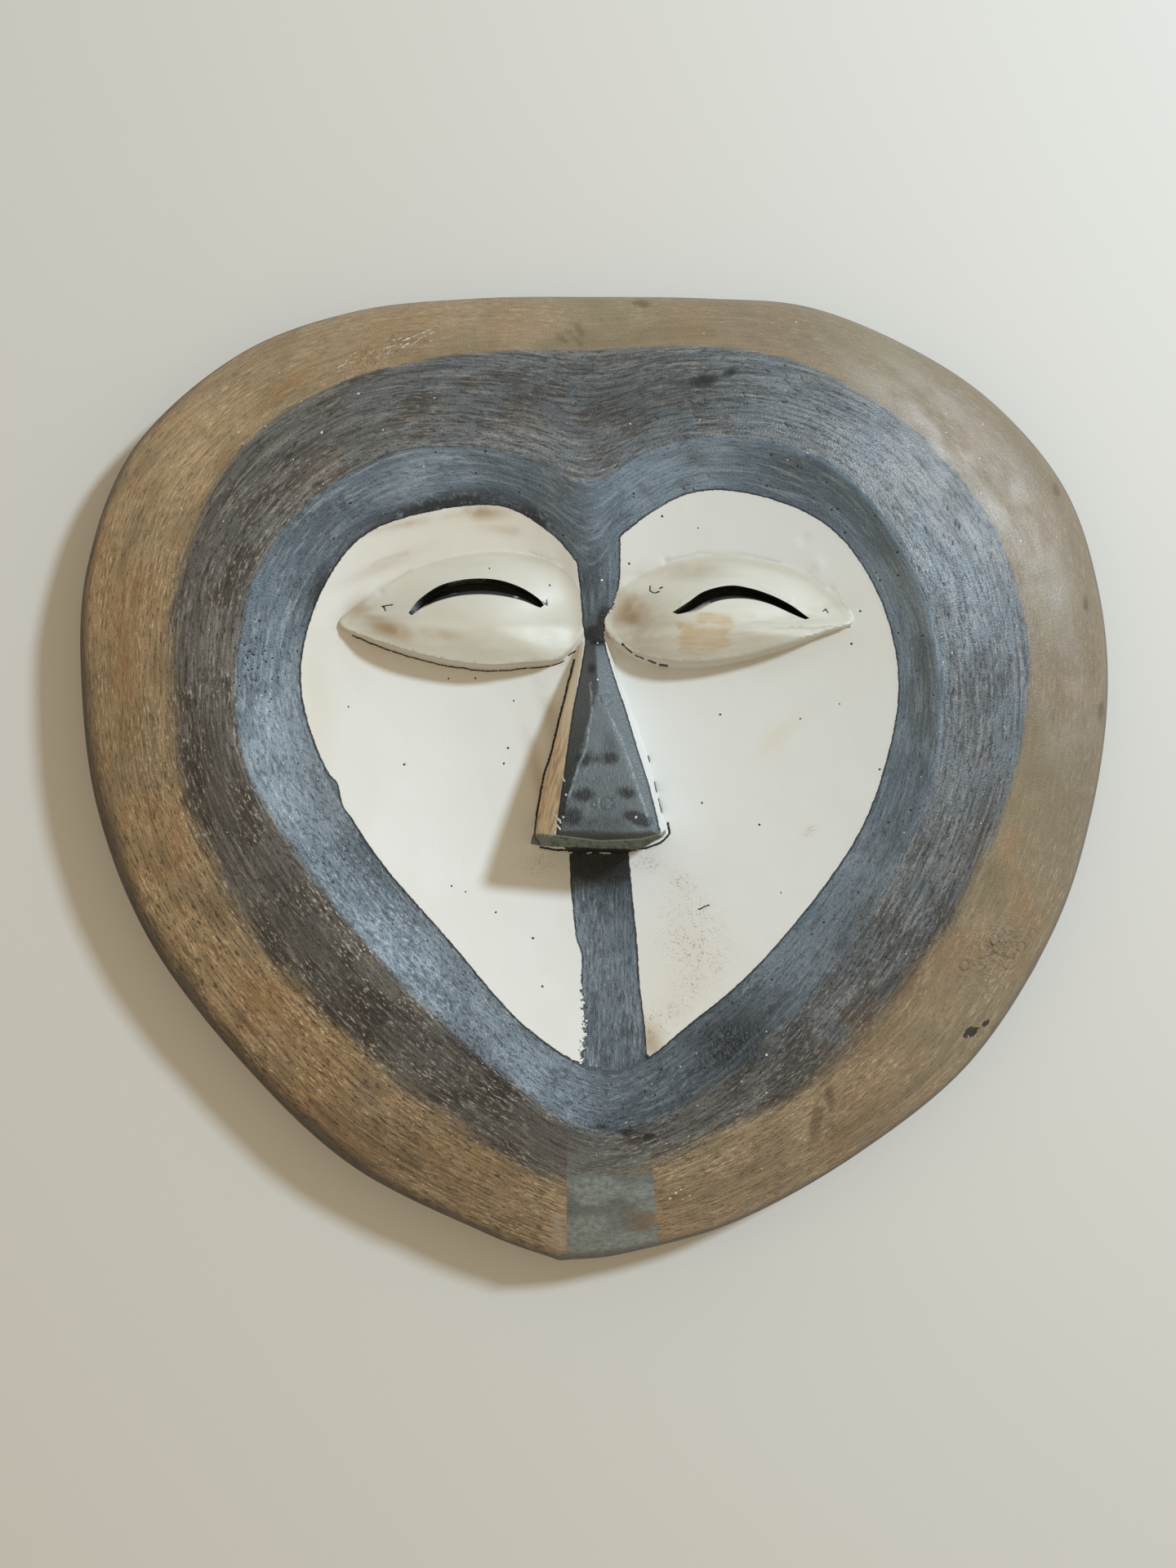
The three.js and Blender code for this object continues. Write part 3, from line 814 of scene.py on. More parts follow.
def edge_rings(angles):
    """Rings from the front's rounded edge, under to the back rim and up the hollow's side wall.

    Each comes with its share of bare wood.
    """
    outline = outline_reach(angles)
    for inset in EDGE_INSETS:
        ring = loop_at(outline - inset, angles)
        yield np.column_stack((ring, carved_height(*ring.T))), 0
    for share in UNDER_SHARES:
        inset = UNDER_ROUND * (1 - math.sqrt(1 - (1 - share) ** 2))
        ring = loop_at(outline - inset, angles)
        wave = 0.25 + 0.25 * uneven(ring[:, 0] / 14, ring[:, 1] / 14, 4, 2)
        ring = loop_at(outline - inset - wave * math.sin(math.pi * share), angles)
        yield np.column_stack((ring, np.full(len(ring), WIDEST_HEIGHT * share))), 1 - share
    for inset in RIM_INSETS:
        yield np.column_stack((loop_at(outline - inset, angles), np.zeros(len(angles)))), 1
    for run in HOLLOW_RUNS:
        ring = loop_at(outline - RIM_WIDTH - run, angles)
        scoop = gouges(*ring.T) * min(1, run / 6)
        yield np.column_stack((ring, hollow_height(*ring.T) + scoop)), 1


def build_skin():
    """The whole skin of the mask, and which of its points are welded to which."""
    skin = Skin()
    angles = ray_angles()
    flat, triangles, number = front_sheet(angles)
    front = np.column_stack((flat, front_height(*flat.T)))
    skin.add_points(front)
    skin.add_faces(triangles, flat_places(front, triangles, FRONT_MAP))

    upper = number[:RAYS]
    for row, (ring, back) in enumerate(edge_rings(angles)):
        lower = skin.add_points(ring, back) + np.arange(RAYS)
        strip(skin, upper, lower, row, EDGE_MAP)
        upper = lower

    flat, triangles, back_number = hollow_sheet(angles, RIM_WIDTH + HOLLOW_RUNS[-1])
    roof = np.column_stack((flat, hollow_height(*flat.T) + gouges(*flat.T)))
    start = skin.add_points(roof, 1)
    triangles = triangles[:, ::-1]
    skin.add_faces(triangles + start, flat_places(roof, triangles, HOLLOW_MAP, mirror=True))
    weld = dict(zip((start + back_number[:RAYS]).tolist(), upper.tolist()))
    for count, (eye, place) in enumerate(zip(eyes.values(), WALL_MAPS)):
        first = count * 2 * SLIT_POINTS
        top = number[RAYS + NOSE_POINTS + first:][:2 * SLIT_POINTS]
        bottom = back_number[RAYS + first:][:2 * SLIT_POINTS]
        slit_wall(skin, eye, place, (top, front[top, 2]), (start + bottom, roof[bottom, 2]))
    return skin, weld


def slit_wall(skin, eye, place, opening, end):
    """The wall of a slit, between its opening and its end, each as point numbers and heights."""
    (upper, top_z), (bottom, bottom_z) = opening, end
    for step, depth in enumerate(SLIT_DEPTHS):
        if depth < 1:
            level = np.column_stack((eye.slit(depth), top_z + (bottom_z - top_z) * depth))
            lower = skin.add_points(level, cut=1.0) + np.arange(len(level))
        else:
            lower = bottom
        strip(skin, lower, upper, step, place)
        upper = lower


def ring_space(x, y, z):
    """A place along the rings and a distance across them, for streaks that follow the carving.

    On the face itself the streaks run up and down.
    """
    angle, radius = polar(x, y, CENTRE)
    outline, crest, foot = outline_reach(angle), crest_reach(angle), foot_reach(angle)
    border = BORDER_SPAN * np.clip((outline - radius) / (outline - crest), 0, 1)
    border -= np.clip(WIDEST_HEIGHT - z, 0, WIDEST_HEIGHT)
    slope = BORDER_SPAN + SLOPE_SPAN * np.clip((crest - radius) / (crest - foot), 0, 1)
    across = np.where(radius >= crest, border, slope)
    ring = np.column_stack((np.cos(angle) * RING_RADIUS, np.sin(angle) * RING_RADIUS, across))
    return np.where((radius < foot)[:, None], np.column_stack((y + 300, z, x)), ring)


def blob(x, y, place):
    """A field that is highest in the middle of a soft place and fades out."""
    centre_x, centre_y, length, height, turn, amount = (*place, 1)[:6]
    c, s = math.cos(math.radians(turn)), math.sin(math.radians(turn))
    lengthwise = ((x - centre_x) * c + (y - centre_y) * s) / length
    across = ((y - centre_y) * c - (x - centre_x) * s) / height
    return amount * np.exp(-(lengthwise**2 + across**2))


def blobs(x, y, places):
    return np.max([blob(x, y, place) for place in places], axis=0)


# Soft places of each field: x, y, half length, half height, turn in degrees and the amount,
# where it isn't 1
SOFT_PLACES = {
    "stain": [
        (-57.5, 42, 8, 2.8, -18, 1.2), (-66.5, 47.6, 5, 3, 36, 0.8), (-62, 45.4, 7, 1.2, -12, 0.8),
        (-44, 40.5, 8, 2, -6, 0.6), (10, 47, 5, 9, -14, 1.1), (7, 54, 4, 5, 30, 0.7),
        (28, 59, 10, 2.6, 4, 0.5), (-50, 72.4, 14, 1.2, 12, 0.7), (-32, 75, 7, 2, 0, 1),
        (-24, 70, 8, 1.4, -8, 0.4), (-12, 70, 5, 2, -20, 0.4), (15.6, -74, 3, 5, 20, 0.8),
        (-12.5, 18, 2.6, 12, 14, 0.5), (-16, 0, 2, 14, 12, 0.5), (-60, 60, 12, 1.6, 24, 0.35),
    ],
    # Grime, and painted shade along the lower sides of the eyes and over the right eye's inner end
    "grime_and_shade": [
        (-60, 46, 12, 6, 20, 0.7), (-34, 36, 26, 3, -3, 0.7), (-10, 38, 7, 6, 30, 0.8),
        (13, 42, 9, 10, -20), (38, 35.5, 22, 3, 6, 0.8), (45, 41, 16, 7, 4, 1.0), (56, 43, 14, 5, 22),
        (30, 58, 18, 3, 2, 0.5), (-30, 61, 24, 2, 2, 0.4),
    ],
    "flakes": [
        (-49.6, 48.2, 2.6, 1.6, 40), (27.5, 47.6, 5, 1.4, 22), (-40, 52.5, 0.8, 0.8, 0, 0.8),
        (-22, 51.4, 0.8, 0.8, 0, 0.8), (-36, 55.8, 6, 0.5, 6, 0.7),
    ],
    # Painted sheen on the border at the upper right, where the lamp reflects; the place by the chin is a pale
    # strip
    "painted_sheen_and_pale_strip": [
        (106, 92, 30, 9, -50, 1.2), (86, 108, 20, 6, -36, 0.5), (126, 64, 22, 9, -68, 0.6),
        (98, 80, 28, 8, -52, 0.4), (136, 26, 20, 9, -86, 0.4), (-10.8, -127, 1.8, 12, 0, 0.7),
    ],
    "speckled": [
        (15, -24, 4, 3, 0), (25, -29.5, 5, 3, -30), (31, -41, 3, 7, 10), (34.5, -52, 3, 5, 0),
        (27, -58, 5, 4, 20), (23, -65, 6, 3, 35), (17, -70, 4, 6, 0), (60.5, -14.6, 2, 1.4, 30),
        (28, -46, 8, 14, 10), (-16, -24, 5, 3, 0),
    ],
    "yellow": [
        (-42, 64, 36, 14, 8), (-30, 40, 44, 9, 0), (34, 42, 44, 12, 0), (52.5, 12.7, 10, 2.6, 42),
        (24, -58, 14, 16, 20, 0.7), (-30, 72, 30, 7, 4, 1.2), (16, -73, 5, 7, 20),
        (-78, 24, 5, 22, 4, 0.9),
    ],
    "tattered": [(-3.4, -72, 3, 12, 0), (-14, -18, 3, 3, 0), (19, -16, 3, 3, 0), (6, 46, 2, 5, 0)],
    # A darker strip of paint just outside the white's edge, at the upper left and between the eyes
    "dark_strip_outside_white": [(-42, 79, 28, 9, 12, 1.2), (-16, 75, 9, 9, -40, 1.2), (-77.5, 54, 4, 7, -30), (8, 41, 4, 4, 0)],
    "umber": [
        (94, -54, 34, 8, 55, 1.2), (108, -18, 16, 5, 76), (60, -88, 14, 5, 38),
        (-112, 2, 22, 6, 100, 0.6),
    ],
    "crumpled": [
        (-57, -45, 19, 5, -48), (114, -50, 12, 7, 50), (38, -74, 8, 5, 30), (-62, 121, 14, 4, 20, 0.7),
    ],
    "rub": [
        (-62, 123, 17, 5, 12), (-86, 112, 14, 5, 38), (-134, 30, 5, 26, 0), (-121, -18, 6, 18, 25),
        (-96, -62, 14, 6, -46), (-42, -108, 14, 6, -30), (102, -58, 10, 6, 60), (18, -126, 8, 5, 10),
        (-30, 129, 12, 3, 4), (88, -92, 14, 6, 42), (-12, 98, 14, 4, -16, 0.5),
        (72, -70, 12, 4, 50, 0.7), (-62, 92, 20, 6, 28, 0.5), (120, -40, 10, 6, 70),
        (-138, -6, 4, 22, 10, 0.8), (118, -22, 6, 14, -20, 0.8),
    ],
    "smudge_and_shadow": [
        (13.5, 138.5, 3.4, 1.5, 0), (31, 112, 5, 2.2, 10), (38, 114.5, 2.6, 1.4, 20),
        (62.8, -97, 2, 8, -4), (66.5, -90, 1.4, 5, 14), (134.2, 84.3, 1.6, 2, 0),
        (147.4, 20, 1.5, 3.4, 0), (148.4, -11, 1.2, 3, 0), (142, 50.7, 1.2, 2.6, 0),
        (8.9, -97.6, 3.4, 0.9, 0), (2, -96.4, 3, 0.8, -14), (15, -98.8, 3, 1, 20),
        # (2.5, -23) below the nose and (0.6, 40.8) between the eyes are painted shadow on top of dark paint
        (2.5, -23, 11, 6, 0, 1.6), (2.4, 45, 2, 5, 0), (0.6, 40.8, 3.4, 2.8, 0, 1.5),
        (-3, 5.4, 2.4, 2, 0, 0.9), (4.1, 5.7, 2.6, 2, 0), (0.7, 5.4, 5, 1.2, 0, 0.6),
        (-3.1, -4.2, 3.4, 2, 5), (8.5, -3.6, 3.2, 2, -10, 0.8), (-6.4, -10, 3.4, 2.6, 0),
        (11.6, -10.6, 4.4, 1.9, -20, 1.2), (-0.8, 30.9, 1.6, 2, 0, 0.8), (2, -12, 10, 3, 0, 0.5),
    ],
    "chip": [(108.6, -73, 2.7, 2, 15), (113.5, -70.7, 1.7, 1.2, 42)],
}
# Bare wood below the right slit, as boxes: left, bottom, right, top
BARE = [(23.7, 35.9, 37.7, 42.9), (28.7, 42.9, 37.7, 46.3)]
# Where the paint is lighter or darker, from its own tone and from painted light and shade:
# the place and by how much
TONE_AND_PAINTED_LIGHT = [
    (-48, 86, 26, 6, 12, 0.6), (-88, 62, 8, 20, 30, 0.1), (-90, 18, 8, 34, 0, 0.5),
    # (-57, -45) is a painted highlight along the crest at the lower left
    (0, 80, 12, 7, 0, 0.2), (-57, -45, 22, 7, -48, 0.95), (-32, -76, 14, 8, -40, -0.4),
    (38, -73, 17, 11, 42, -0.76), (8, -94, 22, 6, 4, -0.3), (34, 88, 26, 6, 0, 0.2),
    # (86, 62) is a painted highlight along the crest at the upper right
    (86, 62, 9, 26, 36, 0.25), (0, 106, 36, 9, 0, -0.36), (-104, 92, 16, 16, 45, 0.12),
    (-88, -30, 16, 8, -60, -0.25), (-62, -64, 20, 8, -44, -0.3), (-106, 36, 8, 34, 4, 0.24),
    (-108, 2, 8, 20, 14, -0.14), (112, 60, 12, 30, 20, -0.03), (102, -22, 12, 14, -20, -0.05),
    (90, -58, 34, 7, 55, -0.14), (54, 106, 22, 9, -25, 0.16), (94, 24, 6, 28, 0, 0.1),
    (72, -45, 12, 9, 48, -0.26), (56, -84, 16, 7, 42, -0.2), (-50, -108, 34, 10, -33, -0.3),
    # (3.4, -26) is painted shadow below the nose
    (58, -110, 32, 10, 30, -0.2), (140, 4, 14, 56, 0, -0.1), (3.4, -26, 10, 8, 0, -0.82),
    # (2, 42) and (1, 56) are painted shadow between the eyes
    (2, 42, 5, 6, 0, -0.6), (1, 56, 6, 9, 0, -0.35), (-20, 133, 60, 8, 0, 0.08),
    (-116, 100, 20, 12, 45, 0.08), (5, -50, 8, 36, 0, -0.1), (1, 6, 12, 14, 0, -0.14),
    (2, -10, 14, 9, 0, -0.26), (-84, 92, 26, 10, 40, -0.1),
]
# Where the edge of the white paint juts out or is eaten away: x, y, radius and depth
WHITE_NICKS = [(-73, -1.6, 2.6, 1.3), (-69.5, -7.5, 2, -0.7), (5, 50, 1.5, 0.6)]
# The planes that make up each painted side of the nose; the two bevels take a painted lit and a painted
# shaded tone
NOSE_SIDES = {
    "left_bevel_painted_shaded": ("left bevel",),
    "right_bevel_painted_lit": ("right bevel",),
    "left_side": ("left side",),
}


def tone_and_painted_light_at(x, y):
    """How light or dark the paint is, by its tone and by painted light and shade, where 1 leaves it as it is.
    """
    return 1 + sum(blob(x, y, place) for place in TONE_AND_PAINTED_LIGHT)


def along(places, at):
    """The second value of the places, where the first one is given."""
    return np.interp(at, *zip(*places))


def dark_softness(angle):
    """How softly the dark paint ends: crisp at the upper right and soft at the lower left."""
    return 0.2 + 0.8 * eased(0.5 - np.cos(angle - 1.15) * 0.9)


def blue_softness(angle):
    """How softly the blue paint ends: crisp on the left and soft at the lower right."""
    return 0.4 + np.clip(np.cos(angle + 0.7), 0, 1)


def blue_spread(angle):
    """How far past the crest the blue paint goes: only at the right."""
    return 2.4 * np.clip(np.cos(angle - 0.2), 0, 1) ** 2


def rim_shade_reach(angle):
    """How far in the painted shade of the rim reaches: farthest at the lower left and least at the top."""
    return 2.6 - 1.4 * np.sin(angle) + 7 * np.clip(np.cos(angle + 2.7), 0, 1) ** 2


def coarseness(angle):
    """How much the grain shows: most at the lower left and least at the upper right."""
    return 0.12 + 0.85 * (0.5 + 0.5 * np.cos(angle + 2.35)) ** 1.7


def white_and_stripe(flat):
    """Signed distances into the white paint and into the dark stripe."""
    x, y = flat.T
    stripe = np.minimum(x - along(STRIPE_LEFT, y), along(STRIPE_RIGHT, y) - x)
    white = np.minimum(signed(flat, smooth_loop(FOOT, 320)), -stripe)
    return dented(white, x, y, WHITE_NICKS), stripe


def boxes(x, y, places):
    """How far inside one of the boxes a point is."""
    gaps = [(x - left, y - low, right - x, high - y) for left, low, right, high in places]
    return np.max([np.min(gap, axis=0) for gap in gaps], axis=0)


def nose_sides(x, y, nose):
    """Which painted side of the nose each point is on."""
    lowest = np.stack([height(x, y) for height in nose_planes.values()]).argmin(axis=0)
    names = list(nose_planes)
    return {
        side: np.where((nose > 0.02) & np.isin(lowest, [names.index(name) for name in planes]), 1.0, 0.0)
        for side, planes in NOSE_SIDES.items()
    }


def mark_fields(x, y):
    """The dark, light, worn and faint shares of the thin marks."""
    fields = {kind: np.zeros_like(x) for kind in marks[0].shares}
    for mark in marks:
        near, share = mark.share(x, y)
        for kind, most in mark.shares.items():
            fields[kind][near] = np.maximum(fields[kind][near], most * share)
    return fields


def paint_fields(x, y):
    """Named fields over the skin: signed distances to the edges of the paint, and soft marks."""
    flat = np.column_stack((x, y))
    angle, radius = polar(x, y, CENTRE)
    white, stripe = white_and_stripe(flat)
    nose = signed(flat, nose_loop)
    inset = outline_reach(angle) - radius
    around = uneven(angle / TURN * 60, radius / 7, 32, around=60)
    patch = np.where(radius > foot_reach(angle), around, uneven(x / 9, y / 9, 32))
    streak = uneven(angle / TURN * 48, radius / 2.6, 33, 2, around=48)
    return {
        "white": white,
        "stripe": stripe,
        "nose": nose,
        "eye": into_eyes(flat, 3.0),
        "crest": (crest_reach(angle) + blue_spread(angle) - radius) / blue_softness(angle) + 0.9 * patch,
        "dark": (dark_reach(angle) - radius) / dark_softness(angle) + 1.2 * patch + 1.3 * streak,
        # Painted shade where the edge rounds over, strongest at the lower left, away from the lamp
        "rim": 1 - (inset + 0.25 * patch) / rim_shade_reach(angle),
        "cloud": uneven(x / 26, y / 26, 31),
        "patch": patch,
        # From 0 away from the lamp to 1 towards it: colours mixed by this field are painted light and shade
        "lamp_side": np.clip(0.5 + (0.85 * x + 0.5 * y) / 240, 0, 1),
        "coarse": coarseness(angle),
        "tone_and_painted_light": tone_and_painted_light_at(x, y),
        "bare": boxes(x, y, BARE),
        "lip": along(LIP_LINE, x) - y,
        **{name: blobs(x, y, places) for name, places in SOFT_PLACES.items()},
        **nose_sides(x, y, nose),
        **mark_fields(x, y),
    }


def make_mask():
    """The mesh object of the mask, with its paint fields and its map."""
    skin, weld = build_skin()
    points = np.vstack(skin.points)
    points = np.clip(points, np.array(cad_low) / MM, np.array(cad_high) / MM)
    number = np.arange(len(points))
    number[list(weld)] = list(weld.values())
    used = np.unique(number)
    packed = np.full(len(points), -1)
    packed[used] = np.arange(len(used))
    faces = [[int(packed[number[corner]]) for corner in face] for face in skin.faces]
    points = points[used]

    mesh = bpy.data.meshes.new("carved_mask")
    mesh.from_pydata((points * MM).tolist(), [], faces)
    places = mesh.uv_layers.new(name="OFBake")
    places.data.foreach_set("uv", np.vstack(skin.places).astype(np.float32).ravel())
    x, y, z = points.T
    fields = paint_fields(x, y)
    fields["back"] = np.concatenate(skin.back)[used]
    fields["cut"] = np.concatenate(skin.cut)[used]
    for name, values in fields.items():
        mesh.attributes.new(name, "FLOAT", "POINT").data.foreach_set("value", values.astype(np.float32))
    ring = mesh.attributes.new("ring", "FLOAT_VECTOR", "POINT")
    ring.data.foreach_set("vector", ring_space(x, y, z).astype(np.float32).ravel())
    mesh.shade_smooth()
    mesh.set_sharp_from_angle(angle=SHARP)
    mask = bpy.data.objects.new("carved_mask", mesh)
    bpy.context.scene.collection.objects.link(mask)
    return mask


def tone(red, green, blue):
    """A colour given as it looks on a screen, from 0 to 255."""
    def linear(value):
        value /= 255
        return value / 12.92 if value <= 0.04045 else ((value + 0.055) / 1.055) ** 2.4
    return (linear(red), linear(green), linear(blue), 1)


class Graph:
    """Adds shader nodes, so that a material reads as a formula."""

    def __init__(self, material):
        self.nodes = material.node_tree.nodes
        self.links = material.node_tree.links
        self.shader = self.nodes["Principled BSDF"]

    def put(self, socket, value):
        if isinstance(value, bpy.types.NodeSocket):
            self.links.new(value, socket)
        else:
            socket.default_value = value

    def node(self, kind, output, values, **settings):
        """The output of a new node with these settings, and values on its sockets by name or number."""
        node = self.nodes.new("ShaderNode" + kind)
        for name, value in settings.items():
            setattr(node, name, value)
        for name, value in values.items():
            self.put(node.inputs[name], value)
        return node.outputs[output]

    def math(self, operation, first, second):
        return self.node("Math", 0, {0: first, 1: second}, operation=operation)

    def add(self, first, *others):
        """The sum of the values."""
        for other in others:
            first = self.math("ADD", first, other)
        return first

    def times(self, first, *others):
        """The product of the values."""
        for other in others:
            first = self.math("MULTIPLY", first, other)
        return first

    def around(self, noise, width):
        """A noise, spread evenly around 0 instead of around a half."""
        return self.times(self.add(noise, -0.5), width)

    def attribute(self, name, output="Fac"):
        return self.node("Attribute", output, {}, attribute_name=name)

    def ring(self, along, across):
        """Ring space, with its two scales."""
        return self.scaled(self.attribute("ring", "Vector"), (along, along, across))

    def place(self, *scales):
        """Where a point of the object is, in millimetres times one scale or three."""
        scales = scales if len(scales) == 3 else scales * 3
        return self.scaled(self.node("TexCoord", "Object", {}), [scale / MM for scale in scales])

    def height(self):
        """How high on the face a point is, in millimetres."""
        return self.node("SeparateXYZ", "Y", {0: self.place(1)})

    def scaled(self, vector, factors):
        return self.node("VectorMath", "Vector", {0: vector, 1: factors}, operation="MULTIPLY")

    def dimmed(self, color, share):
        """The colour, made lighter or darker."""
        return self.node("VectorMath", "Vector", {0: color, "Scale": share}, operation="SCALE")

    def noise(self, vector, detail=3.0, roughness=0.55):
        """Noise between about 0 and 1."""
        values = {"Vector": vector, "Scale": 1.0, "Detail": detail, "Roughness": roughness}
        return self.node("TexNoise", "Fac", values)

    def step(self, value, start, end):
        """0 up to start and 1 from end on, with a soft passage between them."""
        low, high = (0.0, 1.0) if start < end else (1.0, 0.0)
        values = {"Value": value, "From Min": min(start, end), "From Max": max(start, end)}
        values.update({"To Min": low, "To Max": high})
        return self.node("MapRange", "Result", values, interpolation_type="SMOOTHSTEP")

    def mix(self, share, first, second):
        return self.node("Mix", 2, {0: share, 6: first, 7: second}, data_type="RGBA")

    def mix_value(self, share, first, second):
        return self.node("Mix", 0, {0: share, 2: first, 3: second})

    def coats(self, color, *coats):
        """The colour under coats of paint, each with its share and its tone."""
        for share, paint in coats:
            color = self.mix(share, color, tone(*paint))
        return color

    def bump(self, height):
        """A normal from a height in millimetres."""
        return self.node("Bump", "Normal", {"Height": height, "Strength": 1.0, "Distance": MM})


class PaintedWood(Graph):
    """Bare, stained and painted wood of the mask."""

    def __init__(self, material):
        super().__init__(material)
        self.fleck = self.noise(self.ring(0.4, 1.7), 2.5, 0.6)
        self.stroke = self.noise(self.ring(0.07, 1.1), 3.0, 0.6)
        self.ragged = self.noise(self.place(0.55), 3.0, 0.6)
        self.crumbs = self.noise(self.place(1.8), 1.5, 0.6)
        self.coarse = self.attribute("coarse")
        # The side towards the lamp, which carries painted light and shade in the colours below
        self.lamp_side = self.attribute("lamp_side")
        self.dark_dash = self.step(self.fleck, 0.56, 0.66)
        # Pale dashes of grain, partly painted glints where the grain catches the lamp
        self.pale_dash_and_glint = self.times(self.step(self.fleck, 0.44, 0.35), self.share("patch", -0.7, 0.3))
        self.dark_stroke = self.step(self.stroke, 0.5, 0.66)
        self.light_stroke = self.step(self.stroke, 0.48, 0.34)
        self.nick = self.around(self.ragged, 0.7)
        self.up = self.height()
        wander = self.around(self.ragged, 2.0)
        tattered = self.add(self.around(self.ragged, 7.0), self.around(self.crumbs, 3.0))
        tattered = self.times(self.attribute("tattered"), tattered)
        self.white_edge = self.add(self.attribute("white"), self.nick, tattered)
        self.on_white = self.step(self.white_edge, -0.1, 0.1)
        self.on_tan = self.edge("dark", wander, 4, -4)
        self.on_blue = self.edge("crest", wander, -0.6, 3)

    def share(self, name, start, end, amount=1.0):
        """How much of something shows where a field runs from start to end."""
        return self.times(self.step(self.attribute(name), start, end), amount)

    def edge(self, name, nudge, start, end):
        """How far a field, nudged by some noise, is from start to end."""
        return self.step(self.add(self.attribute(name), nudge), start, end)

    def gritty(self, color, amount):
        """The colour with fine grit in it."""
        return self.dimmed(color, self.add(self.times(self.around(self.crumbs, 1.0), amount), 1.0))

    def tan(self):
        # Painted light and shade: towards the lamp the tan is darker and greyer, away from it lighter and
        # warmer
        color = self.mix(self.lamp_side, tone(176, 152, 120), tone(127, 113, 94))
        warm = self.mix(self.lamp_side, tone(154, 120, 80), tone(134, 114, 90))
        color = self.coats(
            self.mix(self.share("cloud", 0, 0.9, 0.5), color, warm),
            (self.share("cloud", 0, -0.9, 0.5), (130, 120, 97)),
            (self.share("patch", 0, -0.9, 0.4), (116, 103, 80)),
            (self.times(self.dark_stroke, self.coarse, 0.6), (96, 74, 50)),
            (self.times(self.light_stroke, self.coarse, 0.55), (202, 179, 148)),
            (self.times(self.dark_dash, self.coarse, 0.85), (66, 48, 32)),
            (self.times(self.pale_dash_and_glint, self.coarse, 0.9), (226, 203, 170)),
        )
        return self.gritty(color, self.times(self.coarse, 1.1))

    def band(self):
        # Painted sheen: the dark band turns blue-grey towards the lamp and browner away from it
        brown = self.times(self.share("patch", -0.2, 0.7), self.mix_value(self.lamp_side, 0.9, 0.35))
        umber = self.times(self.attribute("umber"), self.step(self.ragged, 0.2, 0.5), 0.9)
        dashes = self.times(self.pale_dash_and_glint, self.add(self.times(self.coarse, 0.75), 0.1))
        color = self.coats(
            self.mix(self.lamp_side, tone(94, 89, 83), tone(95, 106, 115)),
            (brown, (62, 55, 49)),
            (umber, (63, 54, 46)),
            (self.share("cloud", 0, -0.9, 0.35), (116, 114, 112)),
            (self.times(self.dark_stroke, 0.65), (48, 43, 40)),
            (self.times(self.light_stroke, 0.55), (140, 136, 131)),
            (dashes, (184, 178, 171)),
            (self.times(self.dark_dash, 0.65), (34, 31, 28)),
        )
        return self.gritty(color, 1.2)

    def blue(self):
        dashes = self.times(self.pale_dash_and_glint, self.add(self.times(self.coarse, 0.35), 0.05))
        color = self.coats(
            self.mix(self.share("cloud", -0.7, 0.7), tone(84, 94, 103), tone(120, 131, 141)),
            # Painted light: the blue turns bluer towards the lamp
            (self.times(self.lamp_side, 0.5), (96, 118, 138)),
            (self.share("patch", 0, 0.9, 0.5), (74, 82, 90)),
            (self.times(self.dark_stroke, 0.42), (62, 70, 78)),
            (self.times(self.light_stroke, 0.42), (146, 156, 165)),
            (dashes, (182, 192, 200)),
            (self.times(self.dark_dash, 0.42), (44, 50, 56)),
        )
        return self.gritty(color, 0.7)

    def chalk(self):
        drag = self.noise(self.place(0.1, 0.5, 0.5))
        grain = self.noise(self.place(0.12, 0.9, 0.9))
        # Grime on the white, with painted shade on the eyes
        grime_and_shade = self.times(self.attribute("grime_and_shade"), self.step(drag, 0.15, 0.85), 0.5)
        uneven_stain = self.edge("patch", self.nick, -1.4, 0.2)
        speckle = self.times(self.step(self.crumbs, 0.5, 0.66), self.step(self.ragged, 0.4, 0.6), 0.7)
        bare = self.edge("bare", self.around(drag, 9.0), -1.2, 1.6)
        return self.coats(
            # Painted shade: the white is darker towards the lamp, at the right and the upper right
            self.mix(self.lamp_side, tone(238, 238, 236), tone(205, 206, 203)),
            (self.share("cloud", -0.8, 0.8, 0.25), (214, 212, 206)),
            (self.times(self.attribute("yellow"), 0.4), (214, 203, 180)),
            (self.share("eye", -0.2, 0.6, 0.75), (202, 199, 186)),
            (grime_and_shade, (160, 151, 132)),
            (self.times(self.attribute("stain"), uneven_stain, 0.75), (148, 118, 76)),
            (self.times(self.attribute("speckled"), self.add(speckle, 0.08)), (158, 122, 88)),
            (self.times(bare, self.step(grain, 0.0, 0.6), 0.7), (188, 160, 120)),
        )

    def chin_stripe(self, color):
        """The stripe runs on over the tan wood down to the chin, in greener paint."""
        on_stripe = self.edge("stripe", self.nick, 0, 0.4)
        over_dark = self.times(self.step(self.up, -98, -109), 0.4)
        over_tan = self.times(self.step(self.add(self.up, self.around(self.ragged, 3.0)), -110, -111.5), 0.55)
        green = self.mix(self.share("patch", -0.6, 0.6), tone(144, 155, 155), tone(108, 118, 119))
        green = self.mix(self.times(self.step(self.ragged, 0.35, 0.7), 0.6), green, tone(84, 93, 94))
        return self.mix(self.times(on_stripe, self.add(over_dark, over_tan)), color, green)

    def rubbed(self, color):
        """Paint rubbed down to warm wood on the border."""
        rub = self.times(self.attribute("rub"), self.share("patch", -0.5, 0.5))
        rub = self.times(rub, self.mix_value(self.on_tan, 0.25, 0.6), self.step(self.on_blue, 0.5, 0.2))
        return self.mix(rub, color, tone(146, 110, 70))

